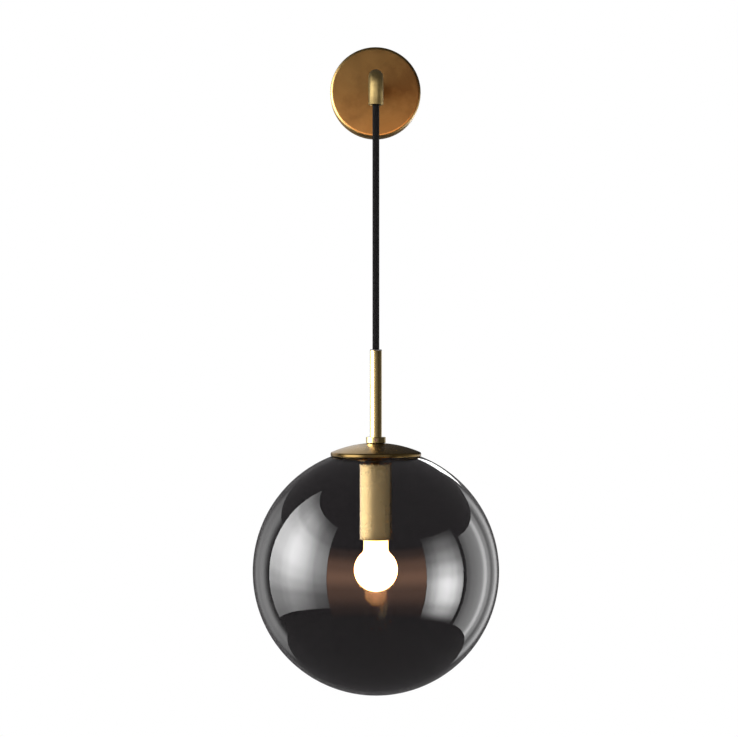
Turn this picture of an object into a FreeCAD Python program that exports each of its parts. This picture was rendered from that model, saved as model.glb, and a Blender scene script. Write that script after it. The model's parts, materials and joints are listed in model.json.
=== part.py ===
"""Globe wall sconce: a brass arm on a round canopy, with a glass globe hanging from it by a textile flex.

Frame: millimetres, +Z up, the wall is the plane y = 0 and the lamp stands out from it towards -Y.
The origin is on the wall, at the centre of the wall-screw pattern behind the canopy.
"""
import FreeCAD, Part
import math
import os

import Sketcher

doc = FreeCAD.newDocument("GlobeWallSconce")

# ---------------------------------------------------------------------------- driving sizes
# name, value (millimetres unless the words say otherwise), what it is
SIZES = [
    ("canopy_dia", "98", "outer diameter of the wall canopy"),
    ("canopy_depth", "22", "from the wall to the canopy's flat face"),
    ("canopy_wall", "1.2", "sheet of the canopy"),
    ("canopy_edge_round", "3.5", "radius of the canopy's outer edge"),
    ("canopy_fit", "0.4", "gap between the canopy's skirt and the bracket's ears"),
    ("plate_dia", "84", "disc of the wall bracket"),
    ("plate_wall", "2", "sheet of the wall bracket"),
    ("plate_bend", "1", "inside radius where an ear bends out of the plate"),
    ("ear_width", "16", "width of an ear along Z"),
    ("ear_length", "15", "how far an ear reaches out from the wall"),
    ("slot_spacing", "60", "distance between the two wall-screw slots"),
    ("slot_length", "14", "end-to-end length of a wall-screw slot"),
    ("slot_width", "4.8", "width of a wall-screw slot"),
    ("supply_width", "26", "width of the opening for the supply cable"),
    ("supply_height", "14", "height of the opening for the supply cable"),
    ("canopy_screw_dia", "4", "thread of the two grub screws in the canopy's skirt"),
    ("canopy_screw_length", "6", "length of a canopy grub screw"),
    ("canopy_screw_out", "10", "distance of the canopy screws from the wall"),
    ("arm_reach", "150", "from the wall to the axis of the flex and globe"),
    ("arm_dia", "15", "outer diameter of the arm tube"),
    ("arm_wall", "1.2", "wall of the arm tube"),
    ("arm_bend_radius", "18", "centreline radius of the elbow"),
    ("arm_drop", "31.2", "from the arm's axis down to its mouth"),
    ("arm_bush_length", "9", "threaded bush brazed into the arm's wall end"),
    ("nipple_dia", "10", "thread of the hollow nipples"),
    ("nipple_bore", "7.6", "bore of the hollow nipples"),
    ("thread_gap", "0.05", "radial play of a screwed joint"),
    ("nut_flats", "14", "width across flats of the nipple nuts"),
    ("nut_height", "3", "height of a nipple nut"),
    ("washer_dia", "17", "outer diameter of the washers on the nipples"),
    ("washer_wall", "0.8", "sheet of the washers on the nipples"),
    ("nipple_tail", "1.5", "how far a nipple stands past its last nut"),
    ("flex_dia", "7", "textile flex over its braid"),
    ("flex_fit", "0.2", "radial play round the flex in a bush"),
    ("flex_tail", "2", "sheath that stands out of the arm nipple inside the canopy"),
    ("flex_drop_length", "248.4", "from the arm's mouth down to the top of the stem"),
    ("bend_inside_mouth", "4", "height of the upper bending point above the arm's mouth"),
    ("bend_above_stem", "2", "height of the lower bending point above the stem"),
    ("knuckle_dia", "6.4", "ball that stands in for the flex's bend"),
    ("knuckle_gap", "0.1", "radial play round that ball"),
    ("knuckle_land", "1.2", "from the bending point to the flat end of each flex beside it"),
    ("grip_clear", "3.5", "from the upper bending point up to the cord grip"),
    ("grub_dia", "3", "thread of the two small grub screws"),
    ("core_dia", "2.2", "an insulated core of the flex"),
    ("core_bend", "3", "bend radius of a core"),
    ("stem_dia", "12", "outer diameter of the pendant's stem"),
    ("stem_wall", "1.2", "wall of the stem"),
    ("stem_length", "89", "stem between its bush's top and the collar"),
    ("stem_foot", "4.6", "how deep the stem stands in the collar"),
    ("stem_thread", "14", "threaded length at the stem's foot"),
    ("bush_flange", "1.2", "flange of the bush on top of the stem"),
    ("bush_length", "10", "sleeve of that bush inside the stem"),
    ("collar_dia", "20", "outer diameter of the collar on the cap"),
    ("collar_height", "6", "height of that collar"),
    ("edge_ease", "0.5", "broken edges of turned brass parts"),
    ("cap_overlap", "8", "how far the cap reaches out past the globe's opening"),
    ("cap_wall", "1", "sheet of the cap"),
    ("cap_dome_radius", "114", "radius of the cap's shallow dome"),
    ("cap_edge_round", "1.6", "radius where the dome turns down into the rim"),
    ("cap_rim_height", "2.4", "straight rim of the cap"),
    ("gasket_height", "3.4", "silicone ring between cap and glass at its mean radius"),
    ("gasket_inset", "0.5", "from the edge of the globe's opening out to the ring's bore"),
    ("gasket_side_gap", "1.5", "from the silicone ring out to the inside of the cap's rim"),
    ("seat_gap", "0.1", "gap between faces that seat on each other"),
    ("globe_dia", "250", "outer diameter of the glass globe"),
    ("glass_wall", "3", "thickness of the glass"),
    ("globe_mouth_dia", "76", "opening at the top of the globe"),
    ("clip_hub_dia", "26", "hub of the spring clip"),
    ("clip_sheet", "1", "sheet of the spring clip's hub"),
    ("clip_arm_width", "11", "width of a clip arm"),
    ("clip_arm_count", "3", "number of clip arms"),
    ("clip_arm_depth", "1.3", "upright thickness of a sloping clip arm"),
    ("clip_valley_dia", "60", "circle through the lowest bend of the clip arms"),
    ("clip_valley_drop", "15", "from the hub down to that bend"),
    ("clip_tip_overlap", "3.4", "how far an arm reaches under the glass from the mouth's edge"),
    ("cover_drop", "10.4", "from the clip's nut down to the nut on top of the socket cover"),
    ("cover_length", "78", "length of the socket cover"),
    ("cover_dia", "32.5", "outer diameter of the socket cover"),
    ("cover_wall", "1", "sheet of the socket cover"),
    ("cover_edge_round", "2", "radius of the socket cover's top edge"),
    ("holder_dia", "26", "outer diameter of the lampholder"),
    ("holder_wall", "1.6", "moulded wall of the lampholder"),
    ("holder_entry_height", "8", "threaded entry of the lampholder below the cover's top"),
    ("holder_dome_height", "15", "dome of the lampholder below its entry"),
    ("holder_body_height", "44", "body of the lampholder below the dome"),
    ("holder_neck_height", "4", "neck of the body that screws into the dome"),
    ("shell_bore", "14.2", "bore of the threaded shell for a small screw cap"),
    ("shell_wall", "0.5", "sheet of the threaded shell"),
    ("shell_length", "25", "length of the threaded shell"),
    ("insert_dia", "19.8", "ceramic disc that carries the contacts"),
    ("insert_height", "6", "height of that disc"),
    ("contact_dia", "5", "head of the centre contact"),
    ("contact_head", "1.2", "thickness of that head"),
    ("contact_rivet_dia", "2.8", "rivet of the centre contact"),
    ("terminal_spacing", "11", "between the lampholder's two terminals"),
    ("terminal_dia", "4", "diameter of a lampholder terminal"),
    ("terminal_height", "4", "height of a lampholder terminal"),
    ("bulb_dia", "44", "ball of the bulb"),
    ("bulb_drop", "30.7", "centre of that ball below the socket cover's open foot"),
    ("bulb_wall", "1", "opal shell of the bulb"),
    ("bulb_neck_dia", "25", "neck of the bulb"),
    ("bulb_neck_height", "12", "straight part of the neck"),
    ("bulb_cone_height", "9", "cone between neck and screw cap"),
    ("bulb_cone_dia", "16", "small end of that cone"),
    ("bulb_board_wall", "1.5", "disc that carries the light-emitting chips"),
    ("screw_cap_dia", "13.8", "small screw cap over its thread"),
    ("screw_cap_height", "16", "threaded height of the screw cap"),
    ("screw_cap_nose", "2.4", "tapered end of the screw cap"),
    ("bulb_tip_dia", "5", "solder contact on the end of the bulb"),
    ("bulb_tip_height", "1.6", "height of that contact"),
    ("block_width", "22", "terminal block along X"),
    ("block_height", "16", "terminal block along Z"),
    ("block_depth", "12", "terminal block out from the bracket"),
    ("block_up", "26", "centre of the terminal block above the origin"),
    ("pole_spacing", "11", "between the two poles of the block"),
    ("pole_dia", "4.4", "bore of a pole in the block"),
    ("pole_recess", "2", "how far a brass pole sits inside the block"),
    ("pole_wall", "0.8", "wall of a brass pole"),
    ("clamp_spacing", "7", "between the two clamp screws of a pole"),
    ("clamp_dia", "3.2", "clamp screw of a pole"),
    ("clamp_length", "3", "length of a clamp screw"),
    ("block_screw_dia", "3", "screw that holds the block"),
    ("block_screw_head", "5.4", "head of that screw"),
    ("earth_screw_dia", "4", "earth screw"),
    ("earth_screw_head", "7.6", "head of the earth screw"),
    ("earth_washer_dia", "9", "square-edged washer of the earth screw"),
    ("earth_down", "24", "earth screw below the origin"),
    ("head_height", "2.2", "height of the two screw heads"),
]

sizes = doc.addObject("Spreadsheet::Sheet", "Size")
for row, (name, value, words) in enumerate(SIZES, start=1):
    sizes.set(f"A{row}", name)
    sizes.set(f"B{row}", value)
    sizes.set(f"C{row}", words)
    sizes.setAlias(f"B{row}", name)
doc.recompute()

# ---------------------------------------------------------------------------- worked-out places
# Heights that end in _h are above the centre of the globe, and those that end in _z are in the lamp's frame.
LAYOUT = [
    ("nipple_r", "Size.nipple_dia / 2"),
    ("nipple_bore_r", "Size.nipple_bore / 2"),
    ("thread_r", "Layout.nipple_r + Size.thread_gap"),
    ("flex_r", "Size.flex_dia / 2"),
    ("bush_bore_r", "Layout.flex_r + Size.flex_fit"),
    ("hollow_r", "Size.knuckle_dia / 2 + Size.knuckle_gap"),
    ("hollow_rim_r", "sqrt(Layout.hollow_r^2 - Size.knuckle_land^2)"),
    ("canopy_r", "Size.canopy_dia / 2"),
    ("canopy_bore_r", "Layout.canopy_r - Size.canopy_wall"),
    ("canopy_inside_y", "Size.canopy_wall - Size.canopy_depth"),
    ("ear_x", "sqrt((Layout.canopy_bore_r - Size.canopy_fit)^2 - (Size.ear_width / 2)^2)"),
    ("arm_bore_r", "Size.arm_dia / 2 - Size.arm_wall"),
    ("arm_nut_y", "Layout.canopy_inside_y + Size.washer_wall"),
    ("arm_nipple_end_y", "Layout.arm_nut_y + Size.nut_height + Size.nipple_tail"),
    ("flex_end_y", "Layout.arm_nipple_end_y + Size.flex_tail"),
    ("mouth_z", "-Size.arm_drop"),
    ("upper_bend_z", "Layout.mouth_z + Size.bend_inside_mouth"),
    ("grip_foot_z", "Layout.upper_bend_z + Size.grip_clear"),
    ("grip_top_z", "-Size.arm_bend_radius"),
    ("grip_mid_z", "(Layout.grip_foot_z + Layout.grip_top_z) / 2"),
    ("stem_top_z", "Layout.mouth_z - Size.flex_drop_length"),
    ("lower_bend_z", "Layout.stem_top_z + Size.bend_above_stem"),
    ("collar_top_z", "Layout.stem_top_z - Size.stem_length"),
    ("cap_top_z", "Layout.collar_top_z - Size.collar_height"),
    ("globe_r", "Size.globe_dia / 2"),
    ("glass_inner_r", "Layout.globe_r - Size.glass_wall"),
    ("mouth_r", "Size.globe_mouth_dia / 2"),
    ("cap_r", "Layout.mouth_r + Size.cap_overlap"),
    ("gasket_inner_r", "Layout.mouth_r + Size.gasket_inset"),
    ("gasket_outer_r", "Layout.cap_r - Size.cap_wall - Size.gasket_side_gap"),
    ("gasket_mean_r", "(Layout.gasket_inner_r + Layout.gasket_outer_r) / 2"),
    ("dome_inner_r", "Size.cap_dome_radius - Size.cap_wall"),
    (
        "dome_centre_h",
        "sqrt(Layout.globe_r^2 - Layout.gasket_mean_r^2) + Size.gasket_height"
        " - sqrt(Layout.dome_inner_r^2 - Layout.gasket_mean_r^2)",
    ),
    ("cap_top_h", "Layout.dome_centre_h + Size.cap_dome_radius"),
    ("globe_z", "Layout.cap_top_z - Layout.cap_top_h"),
    (
        "clip_top_h",
        "Layout.dome_centre_h + sqrt(Layout.dome_inner_r^2 - (Size.clip_hub_dia / 2)^2"
        " - (Size.clip_arm_width / 2)^2) - Size.seat_gap",
    ),
    ("clip_foot_h", "Layout.clip_top_h - Size.clip_sheet"),
    ("clip_nut_h", "Layout.clip_foot_h - Size.washer_wall"),
    ("clip_tip_r", "Layout.mouth_r + Size.clip_tip_overlap"),
    ("clip_tip_h", "sqrt(Layout.glass_inner_r^2 - Layout.clip_tip_r^2) - 2 * Size.seat_gap"),
    ("clip_valley_h", "Layout.clip_top_h - Size.clip_valley_drop"),
    ("cover_top_h", "Layout.clip_nut_h - 2 * Size.nut_height - Size.cover_drop"),
    ("cover_foot_h", "Layout.cover_top_h - Size.cover_length"),
    ("entry_foot_h", "Layout.cover_top_h - Size.cover_wall - Size.holder_entry_height"),
    ("dome_foot_h", "Layout.entry_foot_h - Size.holder_dome_height"),
    ("body_foot_h", "Layout.dome_foot_h - Size.holder_body_height"),
    ("holder_r", "Size.holder_dia / 2"),
    ("insert_r", "Size.insert_dia / 2"),
    ("shell_r", "Size.shell_bore / 2"),
    ("shell_foot_h", "Layout.body_foot_h + 3 * Size.shell_wall"),
    ("insert_foot_h", "Layout.shell_foot_h + Size.shell_length"),
    ("insert_top_h", "Layout.insert_foot_h + Size.insert_height"),
    ("terminal_top_h", "Layout.insert_top_h + Size.terminal_height"),
    ("pendant_nipple_foot_h", "Layout.entry_foot_h + Size.edge_ease"),
    ("flex_foot_h", "Layout.entry_foot_h - Size.flex_tail"),
    ("bulb_r", "Size.bulb_dia / 2"),
    ("bulb_neck_r", "Size.bulb_neck_dia / 2"),
    ("bulb_centre_h", "Layout.cover_foot_h - Size.bulb_drop"),
    ("bulb_neck_foot_h", "Layout.bulb_centre_h + sqrt(Layout.bulb_r^2 - Layout.bulb_neck_r^2)"),
    ("bulb_neck_top_h", "Layout.bulb_neck_foot_h + Size.bulb_neck_height"),
    ("bulb_cone_top_h", "Layout.bulb_neck_top_h + Size.bulb_cone_height"),
    ("screw_cap_r", "Size.screw_cap_dia / 2"),
    ("nose_foot_h", "Layout.bulb_cone_top_h + Size.screw_cap_height"),
    ("nose_top_h", "Layout.nose_foot_h + Size.screw_cap_nose"),
    ("bulb_tip_top_h", "Layout.nose_top_h + Size.bulb_tip_height"),
    ("contact_foot_h", "Layout.bulb_tip_top_h + 3 * Size.seat_gap"),
    ("pole_y", "-Size.plate_wall - Size.block_depth / 2"),
    ("block_front_y", "-Size.plate_wall - Size.block_depth"),
    ("block_foot_z", "Size.block_up - Size.block_height / 2"),
    ("earth_core_y", "-Size.plate_wall - Size.core_dia / 2 - Size.seat_gap"),
    ("earth_washer_y", "-Size.plate_wall - Size.core_dia - 2 * Size.seat_gap"),
]

layout = doc.addObject("App::VarSet", "Layout")
for name, rule in LAYOUT:
    layout.addProperty("App::PropertyFloat", name, "Places")
    layout.setExpression(name, rule)
    doc.recompute()

GLOBE_CENTRE = ("0", "-Size.arm_reach", "Layout.globe_z")
FLEX_AXIS = ("0", "-Size.arm_reach", "0")
ORIGIN = ("0", "0", "0")
CORE_SPREAD = 0.75  # how far a core lies from the flex's axis, in core diameters
SOCKET_SHARE = 0.29  # circumradius of a grub screw's hexagon socket, in thread diameters
WASHER_TEETH = "10"  # teeth of the star washer
PAST_HALF_TURN = 1.0001  # slot ends this much over half the width, so that each is one clear arc


def number(rule):
    """Value of a rule written in the names of the sheet and the layout."""
    return float(layout.evalExpression(rule))


# ---------------------------------------------------------------------------- drawing helpers
def new_body(label, place=ORIGIN):
    """Empty body whose local origin lies at the three rules of place."""
    body = doc.addObject("PartDesign::Body", label)
    body.Label = label
    for axis, rule in zip("xyz", place):
        body.setExpression(f"Placement.Base.{axis}", rule)
    return body


def origin_feature(body, role):
    """One plane or axis of the body's own origin."""
    return next(feature for feature in body.Origin.OriginFeatures if feature.Role == role)


def new_sketch(body, plane, height="0"):
    """Empty sketch on an origin plane, moved along the plane's normal by the rule height."""
    sketch = body.newObject("Sketcher::SketchObject", "Sketch")
    sketch.AttachmentSupport = [(origin_feature(body, plane), "")]
    sketch.MapMode = "FlatFace"
    sketch.setExpression("AttachmentOffset.Base.z", height)
    return sketch


def bind_radius(sketch, edge, rule):
    """Hold the radius of a circle or arc at a rule."""
    index = sketch.addConstraint(Sketcher.Constraint("Radius", edge, number(rule)))
    sketch.setExpression(f"Constraints[{index}]", rule)


def bind_point(sketch, edge, point, rules):
    """Hold a point of an edge at two rules, or on an axis where a rule is 0."""
    for kind, axis, rule in (("DistanceX", -2, rules[0]), ("DistanceY", -1, rules[1])):
        if rule == "0":
            sketch.addConstraint(Sketcher.Constraint("PointOnObject", edge, point, axis))
            continue
        index = sketch.addConstraint(Sketcher.Constraint(kind, -1, 1, edge, point, number(rule)))
        sketch.setExpression(f"Constraints[{index}]", rule)


def arc_between(start, end, turn, radius):
    """The shorter arc from start to end, running ccw or cw."""
    if turn == "cw":
        start, end = end, start
    chord = end - start
    rise = math.sqrt(max(radius**2 - (chord.Length / 2) ** 2, 0.0))
    left = FreeCAD.Vector(-chord.y, chord.x, 0).normalize()
    centre = (start + end) / 2 + left * rise
    first = math.atan2(start.y - centre.y, start.x - centre.x)
    last = math.atan2(end.y - centre.y, end.x - centre.x)
    circle = Part.Circle(centre, FreeCAD.Vector(0, 0, 1), radius)
    return Part.ArcOfCircle(circle, first, last)


def draw_line(sketch, corners, closed=True):
    """Outline through corners (x, y) or (x, y, turn, radius), where an arc runs to the next corner."""
    spots = [FreeCAD.Vector(number(corner[0]), number(corner[1]), 0) for corner in corners]
    count = len(corners) if closed else len(corners) - 1
    edges = []
    for index in range(count):
        start = spots[index]
        end = spots[(index + 1) % len(spots)]
        if len(corners[index]) == 2:
            edge = sketch.addGeometry(Part.LineSegment(start, end), False)
            edges.append((edge, 1, 2))
            continue
        turn, radius = corners[index][2:]
        edge = sketch.addGeometry(arc_between(start, end, turn, number(radius)), False)
        bind_radius(sketch, edge, radius)
        edges.append((edge, 1, 2) if turn == "ccw" else (edge, 2, 1))
    for index, (edge, start, end) in enumerate(edges):
        bind_point(sketch, edge, start, corners[index][:2])
        if closed or index + 1 < len(edges):
            following, entry, _ = edges[(index + 1) % len(edges)]
            sketch.addConstraint(Sketcher.Constraint("Coincident", edge, end, following, entry))
        else:
            bind_point(sketch, edge, end, corners[index + 1][:2])


def draw(sketch, shapes):
    """Draw each shape: a list of corners, or a circle as (x, y, radius)."""
    for shape in shapes:
        if isinstance(shape, list):
            draw_line(sketch, shape)
            continue
        spot = FreeCAD.Vector(number(shape[0]), number(shape[1]), 0)
        circle = Part.Circle(spot, FreeCAD.Vector(0, 0, 1), number(shape[2]))
        edge = sketch.addGeometry(circle, False)
        bind_point(sketch, edge, 3, shape[:2])
        bind_radius(sketch, edge, shape[2])


def turned(label, outline, place=GLOBE_CENTRE, plane="XZ_Plane"):
    """Body of revolution from corners (radius, height): on XZ_Plane about Z, on XY_Plane about Y."""
    body = new_body(label, place)
    sketch = new_sketch(body, plane)
    draw_line(sketch, outline)
    revolution = body.newObject("PartDesign::Revolution", "Revolution")
    revolution.Profile = sketch
    revolution.ReferenceAxis = (sketch, ["V_Axis"])
    revolution.Angle = 360
    return body


def pad(body, plane, shapes, length, height="0", symmetric=False):
    """Add material from a sketch along the plane's normal."""
    sketch = new_sketch(body, plane, height)
    draw(sketch, shapes)
    feature = body.newObject("PartDesign::Pad", "Pad")
    feature.Profile = sketch
    feature.setExpression("Length", length)
    feature.SideType = "Symmetric" if symmetric else "One side"
    return feature


def pocket(body, plane, shapes, length, height="0", symmetric=False):
    """Remove material from a sketch against the plane's normal."""
    sketch = new_sketch(body, plane, height)
    draw(sketch, shapes)
    feature = body.newObject("PartDesign::Pocket", "Pocket")
    feature.Profile = sketch
    feature.setExpression("Length", length)
    feature.SideType = "Symmetric" if symmetric else "One side"
    return feature


def polar(body, feature, axis, count):
    """Repeat a feature evenly round an axis of the body."""
    pattern = body.newObject("PartDesign::PolarPattern", "PolarPattern")
    pattern.Originals = [feature]
    pattern.Axis = (origin_feature(body, axis), [""])
    pattern.Angle = 360
    if count.startswith("Size."):
        pattern.setExpression("Occurrences", count)
    else:
        pattern.Occurrences = int(count)
    body.Tip = pattern
    return pattern


def rectangle(left, right, bottom, top):
    """Corners of an upright rectangle."""
    return [(left, bottom), (right, bottom), (right, top), (left, top)]


def centred(width, height):
    """Corners of a rectangle round the sketch's origin."""
    return rectangle(f"-{width} / 2", f"{width} / 2", f"-{height} / 2", f"{height} / 2")


def slot(x, width, length):
    """Corners of a slot along X, centred at x on the sketch's own x axis."""
    straight = f"({length} - {width}) / 2"
    return [
        (f"{x} - {straight}", f"-{width} / 2"),
        (f"{x} + {straight}", f"-{width} / 2", "ccw", f"{width} / 2 * {PAST_HALF_TURN}"),
        (f"{x} + {straight}", f"{width} / 2"),
        (f"{x} - {straight}", f"{width} / 2", "ccw", f"{width} / 2 * {PAST_HALF_TURN}"),
    ]


def hexagon(flats):
    """Corners of a hexagon with two flats square to X."""
    half = f"{flats} / 2"
    side = f"{flats} / 2 * tan(30)"
    tip = f"{flats} / 2 / cos(30)"
    right = [(half, f"-{side}"), (half, side)]
    left = [(f"-{half}", side), (f"-{half}", f"-{side}")]
    return right + [("0", tip)] + left + [("0", f"-{tip}")]


def ring(label, inner, outer, foot, top, place=GLOBE_CENTRE, plane="XZ_Plane"):
    """Plain turned ring between two radii and two heights."""
    return turned(label, rectangle(inner, outer, foot, top), place, plane)


def nipple_nut(label, foot, place=GLOBE_CENTRE, plane="XY_Plane"):
    """Hexagon nut for a hollow nipple, its lower face at the rule foot along the plane's normal."""
    body = new_body(label, place)
    pad(body, plane, [hexagon("Size.nut_flats"), ("0", "0", "Layout.thread_r")], "Size.nut_height", foot)
    return body


def grub_screw(name, dia, length, place, turn):
    """Hexagon-socket grub screw: its outer end at place, its body along the local -Z after the turn."""
    shank = doc.addObject("Part::Cylinder", name + "_shank")
    shank.setExpression("Radius", f"{dia} / 2 - Size.thread_gap")
    shank.setExpression("Height", length)
    socket = doc.addObject("Part::Prism", name + "_socket")
    socket.Polygon = 6
    socket.setExpression("Circumradius", f"{dia} * {SOCKET_SHARE}")
    socket.setExpression("Height", f"{dia} / 2")
    socket.setExpression("Placement.Base.z", f"{length} - {dia} / 2")
    screw = doc.addObject("Part::Cut", name)
    screw.Base = shank
    screw.Tool = socket
    screw.Placement.Rotation = turn
    for axis, rule in zip("xyz", place):
        screw.setExpression(f"Placement.Base.{axis}", rule)
    return screw


def grouped(label, members):
    """Several separate solids in one node."""
    group = doc.addObject("Part::Compound", label)
    group.Label = label
    group.Links = members
    return group


def cylinder(name, radius, height, place, turn=FreeCAD.Rotation()):
    """Part cylinder from place along the turned Z axis."""
    solid = doc.addObject("Part::Cylinder", name)
    solid.setExpression("Radius", radius)
    solid.setExpression("Height", height)
    solid.Placement.Rotation = turn
    for axis, rule in zip("xyz", place):
        solid.setExpression(f"Placement.Base.{axis}", rule)
    return solid


def rounded_route(points, radius):
    """Wire through points with each corner rounded by a tangent arc."""
    edges = []
    last = points[0]
    for before, corner, after in zip(points, points[1:], points[2:]):
        back = (before - corner).normalize()
        ahead = (after - corner).normalize()
        half_turn = (math.pi - back.getAngle(ahead)) / 2
        leg = radius * math.tan(half_turn)
        middle = corner + (back + ahead).normalize() * (radius / math.cos(half_turn) - radius)
        edges.append(Part.LineSegment(last, corner + back * leg).toShape())
        edges.append(Part.Arc(corner + back * leg, middle, corner + ahead * leg).toShape())
        last = corner + ahead * leg
    edges.append(Part.LineSegment(last, points[-1]).toShape())
    return Part.Wire(edges)


def swept_round(points, radius, thickness):
    """Round rod along a route whose corners are rounded by the given bend radius."""
    route = rounded_route(points, radius)
    start = (points[1] - points[0]).normalize()
    section = Part.Wire([Part.Circle(points[0], start, thickness / 2).toShape()])
    rod = route.makePipeShell([section], True, False)
    ideal = route.Length * math.pi * thickness**2 / 4
    print(f"rod: bend radius {radius:.1f}, length {route.Length:.1f}, volume {rod.Volume:.1f} of {ideal:.1f}")
    return rod


def fixed_shape(label, shape):
    """Sub-part whose shape is worked out in code."""
    feature = doc.addObject("Part::Feature", label)
    feature.Label = label
    feature.Shape = shape
    return feature


def spot(x, y, z):
    """Point in the lamp's frame from three rules or numbers."""
    return FreeCAD.Vector(*(number(value) if isinstance(value, str) else value for value in (x, y, z)))


# ---------------------------------------------------------------------------- wall bracket
def wall_bracket():
    """Round steel plate with two ears, wall-screw slots and an opening for the supply cable."""
    ear = "Layout.ear_x"
    wall = "Size.plate_wall"
    inside = "Size.plate_bend"
    outside = "(Size.plate_wall + Size.plate_bend)"
    body = new_body("wall_bracket")
    strap = [
        (f"{ear} - {outside}", "0"),
        (f"-({ear} - {outside})", "0", "ccw", outside),
        (f"-{ear}", f"-{outside}"),
        (f"-{ear}", "-Size.ear_length"),
        (f"{wall} - {ear}", "-Size.ear_length"),
        (f"{wall} - {ear}", f"-{outside}", "cw", inside),
        (f"{outside} - {ear}", f"-{wall}"),
        (f"{ear} - {outside}", f"-{wall}", "cw", inside),
        (f"{ear} - {wall}", f"-{outside}"),
        (f"{ear} - {wall}", "-Size.ear_length"),
        (ear, "-Size.ear_length"),
        (ear, f"-{outside}", "ccw", outside),
    ]
    pad(body, "XY_Plane", [strap], "Size.ear_width", symmetric=True)
    pad(body, "XZ_Plane", [("0", "0", "Size.plate_dia / 2")], wall)
    openings = [
        slot("Size.slot_spacing / 2", "Size.slot_width", "Size.slot_length"),
        slot("-Size.slot_spacing / 2", "Size.slot_width", "Size.slot_length"),
        centred("Size.supply_width", "Size.supply_height"),
        ("0", "Size.block_up", "Size.block_screw_dia / 2"),
        ("0", "-Size.earth_down", "Size.earth_screw_dia / 2"),
    ]
    pocket(body, "XZ_Plane", openings, wall, wall)
    ear_hole = ("-Size.canopy_screw_out", "0", "Size.canopy_screw_dia / 2")
    pocket(body, "YZ_Plane", [ear_hole], "Size.canopy_dia", symmetric=True)
    return body


def canopy():
    """Spun brass dish with a rounded edge, a centre hole for the arm and two holes in its skirt."""
    radius = "Layout.canopy_r"
    bore = "Layout.canopy_bore_r"
    corner = "(Layout.canopy_r - Size.canopy_edge_round)"
    hole = "(Layout.nipple_r + 2 * Size.thread_gap)"
    bend = "(Size.canopy_edge_round - Size.canopy_wall)"
    body = turned(
        "canopy",
        [
            (hole, "-Size.canopy_depth"),
            (corner, "-Size.canopy_depth", "ccw", "Size.canopy_edge_round"),
            (radius, "Size.canopy_edge_round - Size.canopy_depth"),
            (radius, "0"),
            (bore, "0"),
            (bore, "Size.canopy_edge_round - Size.canopy_depth", "cw", bend),
            (corner, "Layout.canopy_inside_y"),
            (hole, "Layout.canopy_inside_y"),
        ],
        ORIGIN,
        "XY_Plane",
    )
    skirt_hole = ("-Size.canopy_screw_out", "0", "Size.canopy_screw_dia / 2 + Size.seat_gap")
    pocket(body, "YZ_Plane", [skirt_hole], "2 * Size.canopy_dia", symmetric=True)
    return body


def canopy_screws():
    """Two grub screws, flush in the canopy's skirt and screwed into the bracket's ears."""
    start = "(Layout.canopy_r - Size.canopy_screw_length - Size.seat_gap)"
    right = grub_screw(
        "canopy_screw_right",
        "Size.canopy_screw_dia",
        "Size.canopy_screw_length",
        (start, "-Size.canopy_screw_out", "0"),
        FreeCAD.Rotation(FreeCAD.Vector(0, 1, 0), 90),
    )
    left = grub_screw(
        "canopy_screw_left",
        "Size.canopy_screw_dia",
        "Size.canopy_screw_length",
        (f"-{start}", "-Size.canopy_screw_out", "0"),
        FreeCAD.Rotation(FreeCAD.Vector(0, 1, 0), -90),
    )
    return grouped("canopy_screws", [right, left])


# ---------------------------------------------------------------------------- arm
def pipe_feature(body, kind, radius, start):
    """Pipe along the arm's centreline, from the rule start at the wall end to the mouth."""
    bend = "Size.arm_bend_radius"
    spine = new_sketch(body, "YZ_Plane")
    draw_line(
        spine,
        [
            (start, "0"),
            (f"{bend} - Size.arm_reach", "0", "ccw", bend),
            ("-Size.arm_reach", f"-{bend}"),
            ("-Size.arm_reach", "Layout.mouth_z"),
        ],
        closed=False,
    )
    section = new_sketch(body, "XZ_Plane", f"-({start})")
    draw(section, [("0", "0", radius)])
    pipe = body.newObject(f"PartDesign::{kind}", kind)
    pipe.Profile = section
    pipe.Spine = spine
    return pipe


def arm_tube():
    """Brass tube, bent down at its end, with a threaded bush brazed into its wall end."""
    body = new_body("arm_tube")
    pipe_feature(body, "AdditivePipe", "Size.arm_dia / 2", "-Size.canopy_depth")
    pipe_feature(body, "SubtractivePipe", "Layout.arm_bore_r", "-Size.canopy_depth - Size.arm_bush_length")
    pocket(
        body,
        "XZ_Plane",
        [("0", "0", "Layout.thread_r")],
        "Size.arm_bush_length + 1",
        "Size.canopy_depth + Size.arm_bush_length + 0.5",
    )
    screw_hole = ("0", "Layout.grip_mid_z", "Size.grub_dia / 2")
    pocket(body, "XZ_Plane", [screw_hole], "Size.arm_dia", "Size.arm_reach")
    return body


def arm_nipple():
    """Hollow threaded nipple that joins the arm to the canopy."""
    foot = "Size.seat_gap * 5 - Size.canopy_depth - Size.arm_bush_length"
    return ring("arm_nipple", "Layout.nipple_bore_r", "Layout.nipple_r", foot, "Layout.arm_nipple_end_y",
                ORIGIN, "XY_Plane")


def arm_lock_washer():
    """Star washer with outer teeth between the canopy and its nut."""
    body = ring("arm_lock_washer", "Layout.thread_r", "Size.washer_dia / 2", "Layout.canopy_inside_y",
                "Layout.arm_nut_y", ORIGIN, "XY_Plane")
    notch = rectangle("-Size.washer_wall", "Size.washer_wall", "Size.washer_dia / 2 - 2 * Size.washer_wall",
                      "Size.washer_dia")
    cut = pocket(body, "XZ_Plane", [notch], "4 * Size.washer_wall", "-Layout.canopy_inside_y + Size.washer_wall")
    polar(body, cut, "Y_Axis", WASHER_TEETH)
    return body


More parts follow.
